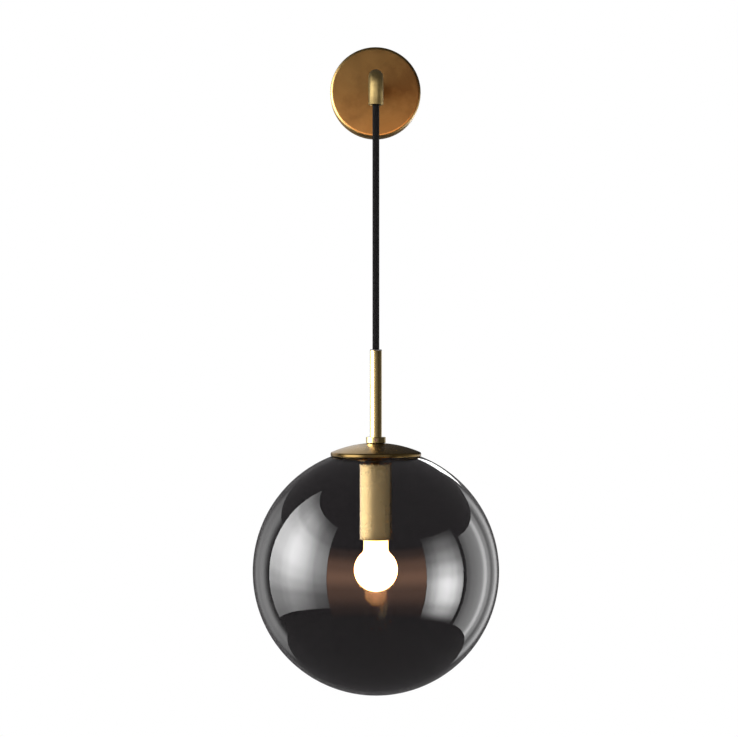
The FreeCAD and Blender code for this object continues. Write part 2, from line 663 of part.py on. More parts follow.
def arm_cord_grip():
    """Nylon bush in the arm's mouth that holds the flex, drilled for its grub screw."""
    body = ring("arm_cord_grip", "Layout.bush_bore_r", "Layout.arm_bore_r - Size.seat_gap", "Layout.grip_foot_z",
                "Layout.grip_top_z", FLEX_AXIS)
    screw_hole = ("0", "Layout.grip_mid_z", "Size.grub_dia / 2")
    pocket(body, "XZ_Plane", [screw_hole], "Size.arm_dia")
    return body


def arm_grub_screw():
    """Small grub screw at the back of the elbow, onto the flex through the grip."""
    length = "(Size.arm_dia / 2 - Layout.bush_bore_r - 2 * Size.seat_gap)"
    start = "Layout.bush_bore_r - Size.arm_reach + Size.seat_gap"
    screw = grub_screw("arm_grub_screw", "Size.grub_dia", length, ("0", start, "Layout.grip_mid_z"),
                       FreeCAD.Rotation(FreeCAD.Vector(1, 0, 0), -90))
    screw.Label = "arm_grub_screw"
    return screw


# ---------------------------------------------------------------------------- flex and its cores
def flex_in_arm():
    """The flex inside the nipple and arm, hollowed at its lower end round the bending point."""
    reach = number("Size.arm_reach")
    route = [spot(0, "Layout.flex_end_y", 0), spot(0, -reach, 0),
             spot(0, -reach, "Layout.upper_bend_z + Size.knuckle_land")]
    rod = swept_round(route, number("Size.arm_bend_radius"), number("Size.flex_dia"))
    hollow = Part.makeSphere(number("Layout.hollow_r"), spot(0, -reach, "Layout.upper_bend_z"))
    return fixed_shape("flex_in_arm", rod.cut(hollow))


def knuckle(label, height):
    """Ball at a bending point of the flex."""
    ball = doc.addObject("Part::Sphere", label)
    ball.Label = label
    ball.setExpression("Radius", "Size.knuckle_dia / 2")
    ball.setExpression("Placement.Base.y", "-Size.arm_reach")
    ball.setExpression("Placement.Base.z", height)
    return ball


def flex_drop():
    """The free, taut flex between the two bending points."""
    top = "Layout.upper_bend_z - Size.knuckle_land"
    foot = "Layout.lower_bend_z + Size.knuckle_land"
    return turned(
        "flex_drop",
        [
            ("0", "Layout.lower_bend_z + Layout.hollow_r", "cw", "Layout.hollow_r"),
            ("Layout.hollow_rim_r", foot),
            ("Layout.flex_r", foot),
            ("Layout.flex_r", top),
            ("Layout.hollow_rim_r", top, "cw", "Layout.hollow_r"),
            ("0", "Layout.upper_bend_z - Layout.hollow_r"),
        ],
        FLEX_AXIS,
    )


def flex_in_stem():
    """The flex inside the stem and nipple, down to where its cores part in the lampholder."""
    top = "Layout.lower_bend_z - Size.knuckle_land"
    foot = "Layout.globe_z + Layout.flex_foot_h"
    return turned(
        "flex_in_stem",
        [
            ("0", foot),
            ("Layout.flex_r", foot),
            ("Layout.flex_r", top),
            ("Layout.hollow_rim_r", top, "cw", "Layout.hollow_r"),
            ("0", "Layout.lower_bend_z - Layout.hollow_r"),
        ],
        FLEX_AXIS,
    )


def core(label, points):
    """One insulated core along its points."""
    return fixed_shape(label, swept_round(points, number("Size.core_bend"), number("Size.core_dia")))


def upper_cores():
    """Cores from the end of the flex to the terminal block and the earth screw."""
    spread = number("Size.core_dia") * CORE_SPREAD
    start_y = number("Layout.flex_end_y + Size.seat_gap")
    pole_y = number("Layout.pole_y")
    turn_z = number("Layout.block_foot_z - 3 * Size.core_bend")
    end_z = number("Layout.block_foot_z + Size.pole_recess - Size.seat_gap")
    made = []
    for label, side in (("live_core_upper", -1), ("neutral_core_upper", 1)):
        pole_x = side * number("Size.pole_spacing / 2")
        made.append(core(label, [
            spot(side * spread, start_y, spread / 2),
            spot(side * spread, pole_y, spread / 2),
            spot(pole_x, pole_y, turn_z),
            spot(pole_x, pole_y, end_z),
        ]))
    earth_y = number("Layout.earth_core_y")
    earth_z = -number("Size.earth_down")
    bend = number("Size.core_bend")
    made.append(core("earth_core_upper", [
        spot(0, start_y, -spread),
        spot(0, pole_y, -spread),
        spot(0, pole_y, earth_z / 2),
        spot(0, earth_y, earth_z / 2 - 2 * bend),
        spot(0, earth_y, earth_z + number("Size.earth_screw_dia / 2 + Size.seat_gap")),
    ]))
    return made


def lower_cores():
    """Cores from the end of the flex to the lampholder's terminals."""
    spread = number("Size.core_dia") * CORE_SPREAD
    reach = number("Size.arm_reach")
    start_z = number("Layout.globe_z + Layout.flex_foot_h - 3 * Size.seat_gap")
    end_z = number("Layout.globe_z + Layout.terminal_top_h + Size.seat_gap")
    step = (start_z - end_z) / 3
    made = []
    for label, side in (("live_core_lower", -1), ("neutral_core_lower", 1)):
        terminal_x = side * number("Size.terminal_spacing / 2")
        made.append(core(label, [
            spot(side * spread, -reach, start_z),
            spot(side * spread, -reach, start_z - step),
            spot(terminal_x, -reach, end_z + step),
            spot(terminal_x, -reach, end_z),
        ]))
    return made


# ---------------------------------------------------------------------------- wiring in the canopy
def terminal_block():
    """Nylon block with two bores, four screw wells and a fixing hole."""
    body = new_body("terminal_block")
    outline = rectangle("-Size.block_width / 2", "Size.block_width / 2", "Layout.block_foot_z",
                        "Layout.block_foot_z + Size.block_height")
    pad(body, "XZ_Plane", [outline], "Size.block_depth", "Size.plate_wall")
    poles = [(f"{side}Size.pole_spacing / 2", "Layout.pole_y", "Size.pole_dia / 2") for side in ("-", "")]
    pocket(body, "XY_Plane", poles, "4 * Size.block_up", symmetric=True)
    well_r = "Size.clamp_dia / 2 + Size.thread_gap"
    wells = [
        (f"{side}Size.pole_spacing / 2", f"Size.block_up {way} Size.clamp_spacing / 2", well_r)
        for side in ("-", "")
        for way in ("-", "+")
    ]
    pocket(body, "XZ_Plane", wells, "Size.block_depth / 2", "Size.plate_wall + Size.block_depth")
    fixing = ("0", "Size.block_up", "Size.block_screw_dia / 2 + Size.seat_gap")
    pocket(body, "XZ_Plane", [fixing], "2 * Size.block_depth", "Size.plate_wall + Size.block_depth")
    return body


def terminal_inserts():
    """Two brass tubes in the block, one to a pole."""
    made = []
    length = "(Size.block_height - 2 * Size.pole_recess)"
    for name, side in (("pole_left", "-"), ("pole_right", "")):
        place = (f"{side}Size.pole_spacing / 2", "Layout.pole_y", "Layout.block_foot_z + Size.pole_recess")
        outer = cylinder(name + "_outer", "Size.pole_dia / 2 - Size.thread_gap", length, place)
        inner = cylinder(name + "_inner", "Size.pole_dia / 2 - Size.pole_wall", length, place)
        tube = doc.addObject("Part::Cut", name)
        tube.Base = outer
        tube.Tool = inner
        made.append(tube)
    return grouped("terminal_inserts", made)


def terminal_screws():
    """Four clamp screws on the brass poles."""
    made = []
    start = "Layout.pole_y - Size.pole_dia / 2"
    forward = FreeCAD.Rotation(FreeCAD.Vector(1, 0, 0), 90)
    for name, side, way in (
        ("clamp_1", "-", "-"),
        ("clamp_2", "-", "+"),
        ("clamp_3", "", "-"),
        ("clamp_4", "", "+"),
    ):
        place = (f"{side}Size.pole_spacing / 2", start, f"Size.block_up {way} Size.clamp_spacing / 2")
        made.append(cylinder(name, "Size.clamp_dia / 2", "Size.clamp_length", place, forward))
    return grouped("terminal_screws", made)


def pan_head_screw(label, dia, head_dia, head_y, z):
    """Pan-head screw along Y: its head seats at the rule head_y and its end is flush with the wall side."""
    shank = f"{dia} / 2 - Size.thread_gap"
    return turned(
        label,
        [
            ("0", f"{head_y} - Size.head_height"),
            (f"{head_dia} / 2 - Size.edge_ease", f"{head_y} - Size.head_height", "ccw", "Size.edge_ease"),
            (f"{head_dia} / 2", f"{head_y} - Size.head_height + Size.edge_ease"),
            (f"{head_dia} / 2", head_y),
            (shank, head_y),
            (shank, "-Size.seat_gap"),
            ("0", "-Size.seat_gap"),
        ],
        ("0", "0", z),
        "XY_Plane",
    )


def earth_terminal():
    """Earth screw and its washer, which hold the earth core on the bracket."""
    washer_front = "(Layout.earth_washer_y - Size.washer_wall)"
    screw = pan_head_screw("earth_screw", "Size.earth_screw_dia", "Size.earth_screw_head", washer_front,
                           "-Size.earth_down")
    washer = ring("earth_washer", "Size.earth_screw_dia / 2 + Size.thread_gap", "Size.earth_washer_dia / 2",
                  washer_front, "Layout.earth_washer_y", ("0", "0", "-Size.earth_down"), "XY_Plane")
    return [screw, washer]


# ---------------------------------------------------------------------------- stem and collar
def stem_bush():
    """Black nylon bush with a chamfered flange on top of the stem."""
    top = "Layout.stem_top_z"
    seat = "(Layout.stem_top_z - Size.bush_flange)"
    sleeve = "(Size.stem_dia / 2 - Size.stem_wall - Size.seat_gap)"
    return turned(
        "stem_bush",
        [
            ("Layout.bush_bore_r", f"{seat} - Size.bush_length"),
            (sleeve, f"{seat} - Size.bush_length"),
            (sleeve, seat),
            ("Size.stem_dia / 2", seat),
            ("Size.stem_dia / 2", f"{top} - Size.edge_ease"),
            ("Size.stem_dia / 2 - Size.edge_ease", top),
            ("Layout.bush_bore_r", top),
        ],
        FLEX_AXIS,
    )


def stem_tube():
    """Brass stem, bored for the flex and threaded at its foot for the nipple."""
    foot = "Layout.collar_top_z - Size.stem_foot"
    top = "Layout.stem_top_z - Size.bush_flange"
    bore = "Size.stem_dia / 2 - Size.stem_wall"
    return turned(
        "stem_tube",
        [
            ("Layout.thread_r", foot),
            ("Size.stem_dia / 2", foot),
            ("Size.stem_dia / 2", top),
            (bore, top),
            (bore, f"{foot} + Size.stem_thread"),
            ("Layout.thread_r", f"{foot} + Size.stem_thread"),
        ],
        FLEX_AXIS,
    )


def stem_collar():
    """Turned brass collar on the cap: a socket for the stem's foot and a grub screw at the front."""
    top = "Layout.collar_top_z"
    foot = "Layout.cap_top_z"
    radius = "Size.collar_dia / 2"
    ease = "Size.edge_ease"
    socket = "(Size.stem_dia / 2 + Size.thread_gap)"
    body = turned(
        "stem_collar",
        [
            ("Layout.thread_r", foot),
            (f"{radius} - {ease}", foot, "ccw", ease),
            (radius, f"{foot} + {ease}"),
            (radius, f"{top} - {ease}", "ccw", ease),
            (f"{radius} - {ease}", top),
            (socket, top),
            (socket, f"{top} - Size.stem_foot - Size.seat_gap"),
            ("Layout.thread_r", f"{top} - Size.stem_foot - Size.seat_gap"),
        ],
        FLEX_AXIS,
    )
    screw_hole = ("0", f"{top} - Size.collar_height / 2", "Size.grub_dia / 2")
    pocket(body, "XZ_Plane", [screw_hole], "Size.collar_dia", "Size.collar_dia")
    return body


def collar_grub_screw():
    """Grub screw at the front of the collar, onto the stem's foot."""
    length = "((Size.collar_dia - Size.stem_dia) / 2 - 5 * Size.seat_gap)"
    start = "-Size.arm_reach - Size.stem_dia / 2 - Size.seat_gap"
    screw = grub_screw("collar_grub_screw", "Size.grub_dia", length,
                       ("0", start, "Layout.collar_top_z - Size.collar_height / 2"),
                       FreeCAD.Rotation(FreeCAD.Vector(1, 0, 0), 90))
    screw.Label = "collar_grub_screw"
    return screw


def pendant_nipple():
    """Hollow threaded nipple from the stem's foot through cap, clip and cover into the lampholder."""
    top = "Layout.collar_top_z - Size.stem_foot + Size.stem_thread - 5 * Size.seat_gap - Layout.globe_z"
    return ring("pendant_nipple", "Layout.nipple_bore_r", "Layout.nipple_r", "Layout.pendant_nipple_foot_h", top)


# ---------------------------------------------------------------------------- cap, globe and clip
def on_dome(radius, dome):
    """Height above the globe's centre of a point of the cap's dome."""
    return f"Layout.dome_centre_h + sqrt(({dome})^2 - ({radius})^2)"


def cap_skin(sink, hole, foot):
    """Half section of the dome and rim, moved inwards by sink and with its rim ending at foot."""
    dome = f"(Size.cap_dome_radius - {sink})"
    bend = f"(Size.cap_edge_round - {sink})"
    rim = f"(Layout.cap_r - {sink})"
    bend_r = "(Layout.cap_r - Size.cap_edge_round)"
    bend_h = f"(sqrt((Size.cap_dome_radius - Size.cap_edge_round)^2 - {bend_r}^2))"
    scale = f"{dome} / (Size.cap_dome_radius - Size.cap_edge_round)"
    return [
        (hole, on_dome(hole, dome), "cw", dome),
        (f"{bend_r} * {scale}", f"Layout.dome_centre_h + {bend_h} * {scale}", "cw", bend),
        (rim, f"Layout.dome_centre_h + {bend_h}"),
        (rim, foot),
    ]


def reversed_outline(corners):
    """The same corners run backwards, with each arc kept on its own stretch."""
    swap = {"cw": "ccw", "ccw": "cw"}
    turned_round = []
    for index in range(len(corners) - 1, -1, -1):
        point = corners[index][:2]
        arc = corners[index - 1][2:] if index > 0 else ()
        turned_round.append(point + ((swap[arc[0]], arc[1]) if arc else ()))
    return turned_round


def globe_cap():
    """Spun brass cap: a shallow dome that turns down into a short rim."""
    hole = "(Layout.nipple_r + 2 * Size.thread_gap)"
    bend_r = "(Layout.cap_r - Size.cap_edge_round)"
    foot = (
        "Layout.dome_centre_h + sqrt((Size.cap_dome_radius - Size.cap_edge_round)^2 - "
        f"{bend_r}^2) - Size.cap_rim_height"
    )
    outside = cap_skin("0", hole, foot)
    inside = cap_skin("Size.cap_wall", hole, foot)
    return turned("globe_cap", outside + reversed_outline(inside))


def cap_gasket():
    """Silicone ring that fits the glass below and the cap's dome above."""
    inner = "Layout.gasket_inner_r"
    outer = "Layout.gasket_outer_r"
    glass = "(Layout.globe_r + Size.seat_gap)"
    dome = "(Layout.dome_inner_r - Size.seat_gap)"
    return turned(
        "cap_gasket",
        [
            (inner, f"sqrt({glass}^2 - ({inner})^2)", "cw", glass),
            (outer, f"sqrt({glass}^2 - ({outer})^2)"),
            (outer, on_dome(outer, dome), "ccw", dome),
            (inner, on_dome(inner, dome)),
        ],
    )


def glass_globe():
    """Blown glass globe with a round opening on top and a fire-polished lip."""
    outer = "Layout.globe_r"
    inner = "Layout.glass_inner_r"
    lean = "Layout.mouth_r / Layout.globe_r"
    lift = "sqrt(1 - (Layout.mouth_r / Layout.globe_r)^2)"
    return turned(
        "glass_globe",
        [
            ("0", f"-{outer}", "ccw", outer),
            (outer, "0", "ccw", outer),
            ("Layout.mouth_r", f"{outer} * {lift}", "ccw", "Size.glass_wall * 0.55"),
            (f"{inner} * {lean}", f"{inner} * {lift}", "cw", inner),
            (inner, "0", "cw", inner),
            ("0", f"-{inner}"),
        ],
    )


def spring_clip():
    """Sheet clip under the cap: a hub and sprung arms that dip through the mouth and press up on the glass."""
    valley = "Size.clip_valley_dia / 2"
    flat = "Size.clip_arm_depth"
    root = "(Size.clip_hub_dia / 2 - Size.clip_sheet)"
    top = "Layout.clip_top_h"
    depth = "Size.clip_arm_depth"
    upper = [
        (root, top),
        ("Size.clip_hub_dia / 2", top),
        (f"{valley} - {flat}", "Layout.clip_valley_h"),
        (f"{valley} + {flat}", "Layout.clip_valley_h"),
        (f"Layout.clip_tip_r - {flat}", "Layout.clip_tip_h"),
        ("Layout.clip_tip_r", "Layout.clip_tip_h"),
    ]
    lower = [(r, f"{h} - {depth}") for r, h in reversed(upper[1:])]
    lower.append((root, "Layout.clip_foot_h"))
    body = new_body("spring_clip", GLOBE_CENTRE)
    hub = [("0", "0", "Size.clip_hub_dia / 2"), ("0", "0", "Layout.nipple_r + 2 * Size.thread_gap")]
    pad(body, "XY_Plane", hub, "Size.clip_sheet", "Layout.clip_foot_h")
    arm = pad(body, "XZ_Plane", [upper + lower], "Size.clip_arm_width", symmetric=True)
    polar(body, arm, "Z_Axis", "Size.clip_arm_count")
    return body


# ---------------------------------------------------------------------------- socket cover, holder
def socket_cover():
    """Brass tube over the lampholder, closed at the top round the nipple."""
    radius = "Size.cover_dia / 2"
    bore = "(Size.cover_dia / 2 - Size.cover_wall)"
    corner = "(Size.cover_dia / 2 - Size.cover_edge_round)"
    hole = "(Layout.nipple_r + 2 * Size.thread_gap)"
    return turned(
        "socket_cover",
        [
            (hole, "Layout.cover_top_h"),
            (corner, "Layout.cover_top_h", "cw", "Size.cover_edge_round"),
            (radius, "Layout.cover_top_h - Size.cover_edge_round"),
            (radius, "Layout.cover_foot_h"),
            (bore, "Layout.cover_foot_h"),
            (bore, "Layout.cover_top_h - Size.cover_edge_round", "ccw", "Size.cover_edge_round - Size.cover_wall"),
            (corner, "Layout.cover_top_h - Size.cover_wall"),
            (hole, "Layout.cover_top_h - Size.cover_wall"),
        ],
    )


def lampholder_dome():
    """Upper half of the lampholder with its threaded entry."""
    wall = "Size.holder_wall"
    entry_r = "(Layout.thread_r + 2 * Size.holder_wall)"
    entry_top = "Layout.cover_top_h - Size.cover_wall - Size.seat_gap"
    shoulder = "Layout.entry_foot_h"
    skirt = "(Layout.entry_foot_h - (Layout.holder_r - Layout.thread_r - 2 * Size.holder_wall))"
    bore = "(Layout.holder_r - Size.holder_wall)"
    return turned(
        "lampholder_dome",
        [
            ("Layout.thread_r", entry_top),
            (entry_r, entry_top),
            (entry_r, shoulder, "cw", "(Layout.holder_r - Layout.thread_r - 2 * Size.holder_wall)"),
            ("Layout.holder_r", skirt),
            ("Layout.holder_r", "Layout.dome_foot_h"),
            (bore, "Layout.dome_foot_h"),
            (bore, f"{skirt} - {wall}"),
            (entry_r, f"{shoulder} - {wall}"),
            ("Layout.thread_r", f"{shoulder} - {wall}"),
        ],
    )


def lampholder_body():
    """Lower half of the lampholder: a neck that screws into the dome, a ledge for the disc, a rim at the foot."""
    neck_r = "(Layout.holder_r - Size.holder_wall - Size.thread_gap)"
    seat_r = "(Layout.insert_r + Size.seat_gap)"
    bore = "(Layout.shell_r + 3 * Size.shell_wall)"
    joint = "(Layout.dome_foot_h - Size.seat_gap)"
    return turned(
        "lampholder_body",
        [
            (bore, "Layout.body_foot_h"),
            ("Layout.holder_r - Size.edge_ease", "Layout.body_foot_h"),
            ("Layout.holder_r", "Layout.body_foot_h + Size.edge_ease"),
            ("Layout.holder_r", joint),
            (neck_r, joint),
            (neck_r, f"{joint} + Size.holder_neck_height"),
            (seat_r, f"{joint} + Size.holder_neck_height"),
            (seat_r, "Layout.insert_foot_h"),
            (bore, "Layout.insert_foot_h"),
        ],
    )


def lampholder_shell():
    """Threaded brass shell that holds the bulb, flanged under the ceramic disc."""
    outer = "(Layout.shell_r + Size.shell_wall)"
    flange = "(Layout.shell_r + 3 * Size.shell_wall - Size.seat_gap)"
    top = "(Layout.insert_foot_h - Size.seat_gap)"
    return turned(
        "lampholder_shell",
        [
            ("Layout.shell_r", "Layout.shell_foot_h"),
            (outer, "Layout.shell_foot_h"),
            (outer, f"{top} - Size.shell_wall"),
            (flange, f"{top} - Size.shell_wall"),
            (flange, top),
            ("Layout.shell_r", top),
        ],
    )


def lampholder_insert():
    """Ceramic disc with a hole for the centre contact."""
    hole = "(Size.contact_rivet_dia / 2 + Size.seat_gap)"
    return ring("lampholder_insert", hole, "Layout.insert_r", "Layout.insert_foot_h", "Layout.insert_top_h")


def lampholder_contact():
    """Centre contact: a head that meets the bulb and a rivet through the disc."""
    head_top = "(Layout.contact_foot_h + Size.contact_head)"
    rivet = "Size.contact_rivet_dia / 2"
    return turned(
        "lampholder_contact",
        [
            ("0", "Layout.contact_foot_h"),
            ("Size.contact_dia / 2", "Layout.contact_foot_h"),
            ("Size.contact_dia / 2", head_top),
            (rivet, head_top),
            (rivet, "Layout.insert_top_h + Size.contact_head"),
            ("0", "Layout.insert_top_h + Size.contact_head"),
        ],
    )


def holder_terminals():
    """Two terminals on the ceramic disc."""
    made = []
    for name, side in (("terminal_left", "-"), ("terminal_right", "")):
        place = (f"{side}Size.terminal_spacing / 2", "-Size.arm_reach", "Layout.globe_z + Layout.insert_top_h")
        made.append(cylinder(name, "Size.terminal_dia / 2", "Size.terminal_height", place))
    return grouped("holder_terminals", made)


# ---------------------------------------------------------------------------- bulb
def bulb_envelope():
    """Opal shell of the bulb: a ball drawn in to its neck."""
    radius = "Layout.bulb_r"
    inner = "(Layout.bulb_r - Size.bulb_wall)"
    neck = "Layout.bulb_neck_r"
    neck_in = "(Layout.bulb_neck_r - Size.bulb_wall)"
    return turned(
        "bulb_envelope",
        [
            ("0", f"Layout.bulb_centre_h - {radius}", "ccw", radius),
            (radius, "Layout.bulb_centre_h", "ccw", radius),
            (neck, "Layout.bulb_neck_foot_h"),
            (neck_in, "Layout.bulb_neck_foot_h"),
            (neck_in, f"Layout.bulb_centre_h + sqrt({inner}^2 - {neck_in}^2)", "cw", inner),
            (inner, "Layout.bulb_centre_h", "cw", inner),
            ("0", f"Layout.bulb_centre_h - {inner}"),
        ],
    )


def bulb_collar():
    """Opal plastic neck and cone between the ball and the screw cap."""
    neck = "Layout.bulb_neck_r"
    foot = "(Layout.bulb_neck_foot_h + Size.seat_gap)"
    return turned(
        "bulb_collar",
        [
            ("0", f"{foot} + Size.bulb_board_wall + Size.seat_gap"),
            (f"{neck} - Size.bulb_wall", f"{foot} + Size.bulb_board_wall + Size.seat_gap"),
            (f"{neck} - Size.bulb_wall", foot),
            (neck, foot),
            (neck, "Layout.bulb_neck_top_h"),
            ("Size.bulb_cone_dia / 2", "Layout.bulb_cone_top_h"),
            ("0", "Layout.bulb_cone_top_h"),
        ],
    )


def bulb_board():
    """Aluminium disc with the light-emitting chips, in the mouth of the collar."""
    foot = "(Layout.bulb_neck_foot_h + Size.seat_gap)"
    radius = "(Layout.bulb_neck_r - Size.bulb_wall - Size.seat_gap)"
    return turned("bulb_board", rectangle("0", radius, foot, f"{foot} + Size.bulb_board_wall"))


def bulb_screw_cap():
    """Small nickel screw cap with its tapered nose."""
    foot = "(Layout.bulb_cone_top_h + Size.seat_gap)"
    return turned(
        "bulb_screw_cap",
        [
            ("0", foot),
            ("Layout.screw_cap_r", foot),
            ("Layout.screw_cap_r", "Layout.nose_foot_h"),
            ("Size.bulb_tip_dia / 2 + Size.bulb_wall", "Layout.nose_top_h"),
            ("0", "Layout.nose_top_h"),
        ],
    )


def bulb_tip():
    """Rounded solder contact at the end of the bulb."""
    foot = "(Layout.nose_top_h + Size.seat_gap)"
    radius = "Size.bulb_tip_dia / 2"
    return turned(
        "bulb_tip",
        [
            ("0", foot),
            (radius, foot),
            (radius, "Layout.bulb_tip_top_h - Size.edge_ease", "ccw", "Size.edge_ease"),
            (f"{radius} - Size.edge_ease", "Layout.bulb_tip_top_h"),
            ("0", "Layout.bulb_tip_top_h"),
        ],
    )


# ---------------------------------------------------------------------------- the whole lamp
def build():
    """Make every sub-part and return them in order, from the wall to the bulb."""
    pieces = [
        wall_bracket(),
        canopy(),
        canopy_screws(),
        arm_tube(),
        arm_nipple(),
        arm_lock_washer(),
        nipple_nut("arm_lock_nut", "-Layout.arm_nut_y - Size.nut_height", ORIGIN, "XZ_Plane"),
        arm_cord_grip(),
        arm_grub_screw(),
        terminal_block(),
        terminal_inserts(),
        terminal_screws(),
        pan_head_screw("block_screw", "Size.block_screw_dia", "Size.block_screw_head", "Layout.block_front_y",
                       "Size.block_up"),
        flex_in_arm(),
        knuckle("cord_bend_upper", "Layout.upper_bend_z"),
        flex_drop(),
        knuckle("cord_bend_lower", "Layout.lower_bend_z"),
        flex_in_stem(),
        stem_bush(),
        stem_tube(),
        stem_collar(),
        collar_grub_screw(),
        pendant_nipple(),
        globe_cap(),
        cap_gasket(),
        glass_globe(),
        spring_clip(),
        ring("clip_washer", "Layout.thread_r", "Size.washer_dia / 2", "Layout.clip_nut_h", "Layout.clip_foot_h"),
        nipple_nut("clip_nut", "Layout.clip_nut_h - Size.nut_height"),
        nipple_nut("cover_nut", "Layout.cover_top_h"),
        socket_cover(),
        lampholder_dome(),
        lampholder_body(),
        lampholder_shell(),
        lampholder_insert(),
        lampholder_contact(),
        holder_terminals(),
        bulb_envelope(),
        bulb_collar(),
        bulb_board(),
        bulb_screw_cap(),
        bulb_tip(),
    ]
    return pieces + earth_terminal() + upper_cores() + lower_cores()


def check(pieces):
    """Stop if an object failed or a sub-part has no sound shape."""
    for thing in doc.Objects:
        if "Invalid" in thing.State or "Error" in thing.State:
            raise RuntimeError(f"{thing.Name} ({thing.Label}) failed: {thing.State}")
    for piece in pieces:
        if piece.Shape.isNull() or not piece.Shape.isValid() or not piece.Shape.Solids:
            raise RuntimeError(f"{piece.Label} has no sound shape")


def export(pieces):
    """Write one file for each node."""
    os.makedirs("parts", exist_ok=True)
    for piece in pieces:
        piece.Shape.exportStep(f"parts/{piece.Label}.step")
        box = piece.Shape.BoundBox
        print(f"{piece.Label}: {len(piece.Shape.Solids)} solid, {piece.Shape.Volume:.1f} mm3, "
              f"z {box.ZMin:.1f} to {box.ZMax:.1f}")


lamp = build()
doc.recompute()
check(lamp)
export(lamp)
print(f"globe centre z = {number('Layout.globe_z'):.3f}, {len(lamp)} nodes")
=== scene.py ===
"""Looks of the globe wall sconce: finishes, smooth turned pieces, textile flex, lit bulb and studio."""
import json
import math

import bmesh
import bpy
import numpy as np
from bpy.props import FloatProperty, FloatVectorProperty, IntProperty, PointerProperty
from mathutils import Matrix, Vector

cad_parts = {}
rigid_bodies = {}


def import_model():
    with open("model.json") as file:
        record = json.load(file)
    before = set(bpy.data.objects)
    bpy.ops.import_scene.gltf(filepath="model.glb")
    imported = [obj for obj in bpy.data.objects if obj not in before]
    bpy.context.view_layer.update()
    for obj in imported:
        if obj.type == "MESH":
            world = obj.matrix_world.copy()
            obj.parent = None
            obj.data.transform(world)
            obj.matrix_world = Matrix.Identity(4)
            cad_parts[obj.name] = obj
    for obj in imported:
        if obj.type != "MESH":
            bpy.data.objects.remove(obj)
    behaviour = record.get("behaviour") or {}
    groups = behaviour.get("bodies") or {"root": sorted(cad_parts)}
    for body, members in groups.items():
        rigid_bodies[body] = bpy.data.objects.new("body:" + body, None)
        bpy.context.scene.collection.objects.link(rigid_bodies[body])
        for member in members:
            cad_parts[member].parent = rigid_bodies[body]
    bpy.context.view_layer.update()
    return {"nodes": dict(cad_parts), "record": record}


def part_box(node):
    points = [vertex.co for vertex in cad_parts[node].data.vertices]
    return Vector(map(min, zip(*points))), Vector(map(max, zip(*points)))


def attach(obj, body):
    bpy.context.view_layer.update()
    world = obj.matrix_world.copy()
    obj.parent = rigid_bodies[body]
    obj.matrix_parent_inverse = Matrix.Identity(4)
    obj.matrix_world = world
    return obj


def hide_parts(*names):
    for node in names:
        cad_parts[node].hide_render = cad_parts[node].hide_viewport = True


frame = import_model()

bl_info = {
    "name": "Globe Wall Sconce",
    "version": (1, 0, 0),
    "blender": (4, 5, 0),
    "location": "3D View > Sidebar > Sconce",
    "description": "Dresses the packed wall sconce with smooth pieces, procedural finishes and a studio",
    "category": "Object",
}

PHOTO_WIDTH = 738  # pixels
PHOTO_FOCAL = 1968  # pixels, from the perspective of the canopy behind the globe
SENSOR = 36.0  # millimetres
EDGE = 0.0002  # metres, radius of a fine broken edge
SHEET_EDGE = 0.0004  # metres, radius of the edge of a spun or drawn sheet
CARD_RADIUS, TENT_RADIUS, LAMP_RADIUS = 1.3, 1.4, 1.1  # metres from the globe's axis
ARC_STEPS = 49  # points along a card that bends round the axis
END_STEPS = 9  # points of one end of a stretch of flex
FLEX_SIDES, SLIM_SIDES = 48, 96  # segments round the flex and round a slim piece
NODE_STEP = 220  # distance between shader nodes in the editor
BESIDE = (1.0, 0.0, 0.0)  # direction that stays beside every path


# ---- places from the frame
def low(node):
    """Lowest corner of a CAD node."""
    return np.array(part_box(node)[0])


def high(node):
    """Highest corner of a CAD node."""
    return np.array(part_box(node)[1])


def low_z(node):
    """Height of a CAD node's lowest point."""
    return float(low(node)[2])


def high_z(node):
    """Height of a CAD node's highest point."""
    return float(high(node)[2])


def half_width(node):
    """Half the width of a CAD node along X."""
    return float(high(node)[0] - low(node)[0]) / 2


GLOBE_RADIUS = half_width("glass_globe")
GLOBE_Z = low_z("glass_globe") + GLOBE_RADIUS
AXIS_Y = float(low("glass_globe")[1] + high("glass_globe")[1]) / 2  # the pendant hangs on x = 0, y = AXIS_Y
UPPER_BEND_Z = (low_z("cord_bend_upper") + high_z("cord_bend_upper")) / 2
LOWER_BEND_Z = (low_z("cord_bend_lower") + high_z("cord_bend_lower")) / 2
FLEX_RADIUS = half_width("flex_drop")


# ---- settings of the add-on
def length(name, description, default, smallest=0.0001, largest=3.0):
    """A length in metres."""
    return FloatProperty(name=name, description=description, default=default, min=smallest, max=largest,
                         unit="LENGTH", precision=5)


def colour(name, description, default):
    """A linear colour."""
    return FloatVectorProperty(name=name, description=description, default=default, size=3, min=0.0, max=1.0,
                               subtype="COLOR")


def level(name, source, default, largest=50.0):
    """Brightness of a source."""
    return FloatProperty(name=name, description="Brightness of the " + source, default=default, min=0.0,
                         max=largest)


def place(name, description, default):
    """A coordinate in metres."""
    return FloatProperty(name=name, description=description, default=default, unit="LENGTH")


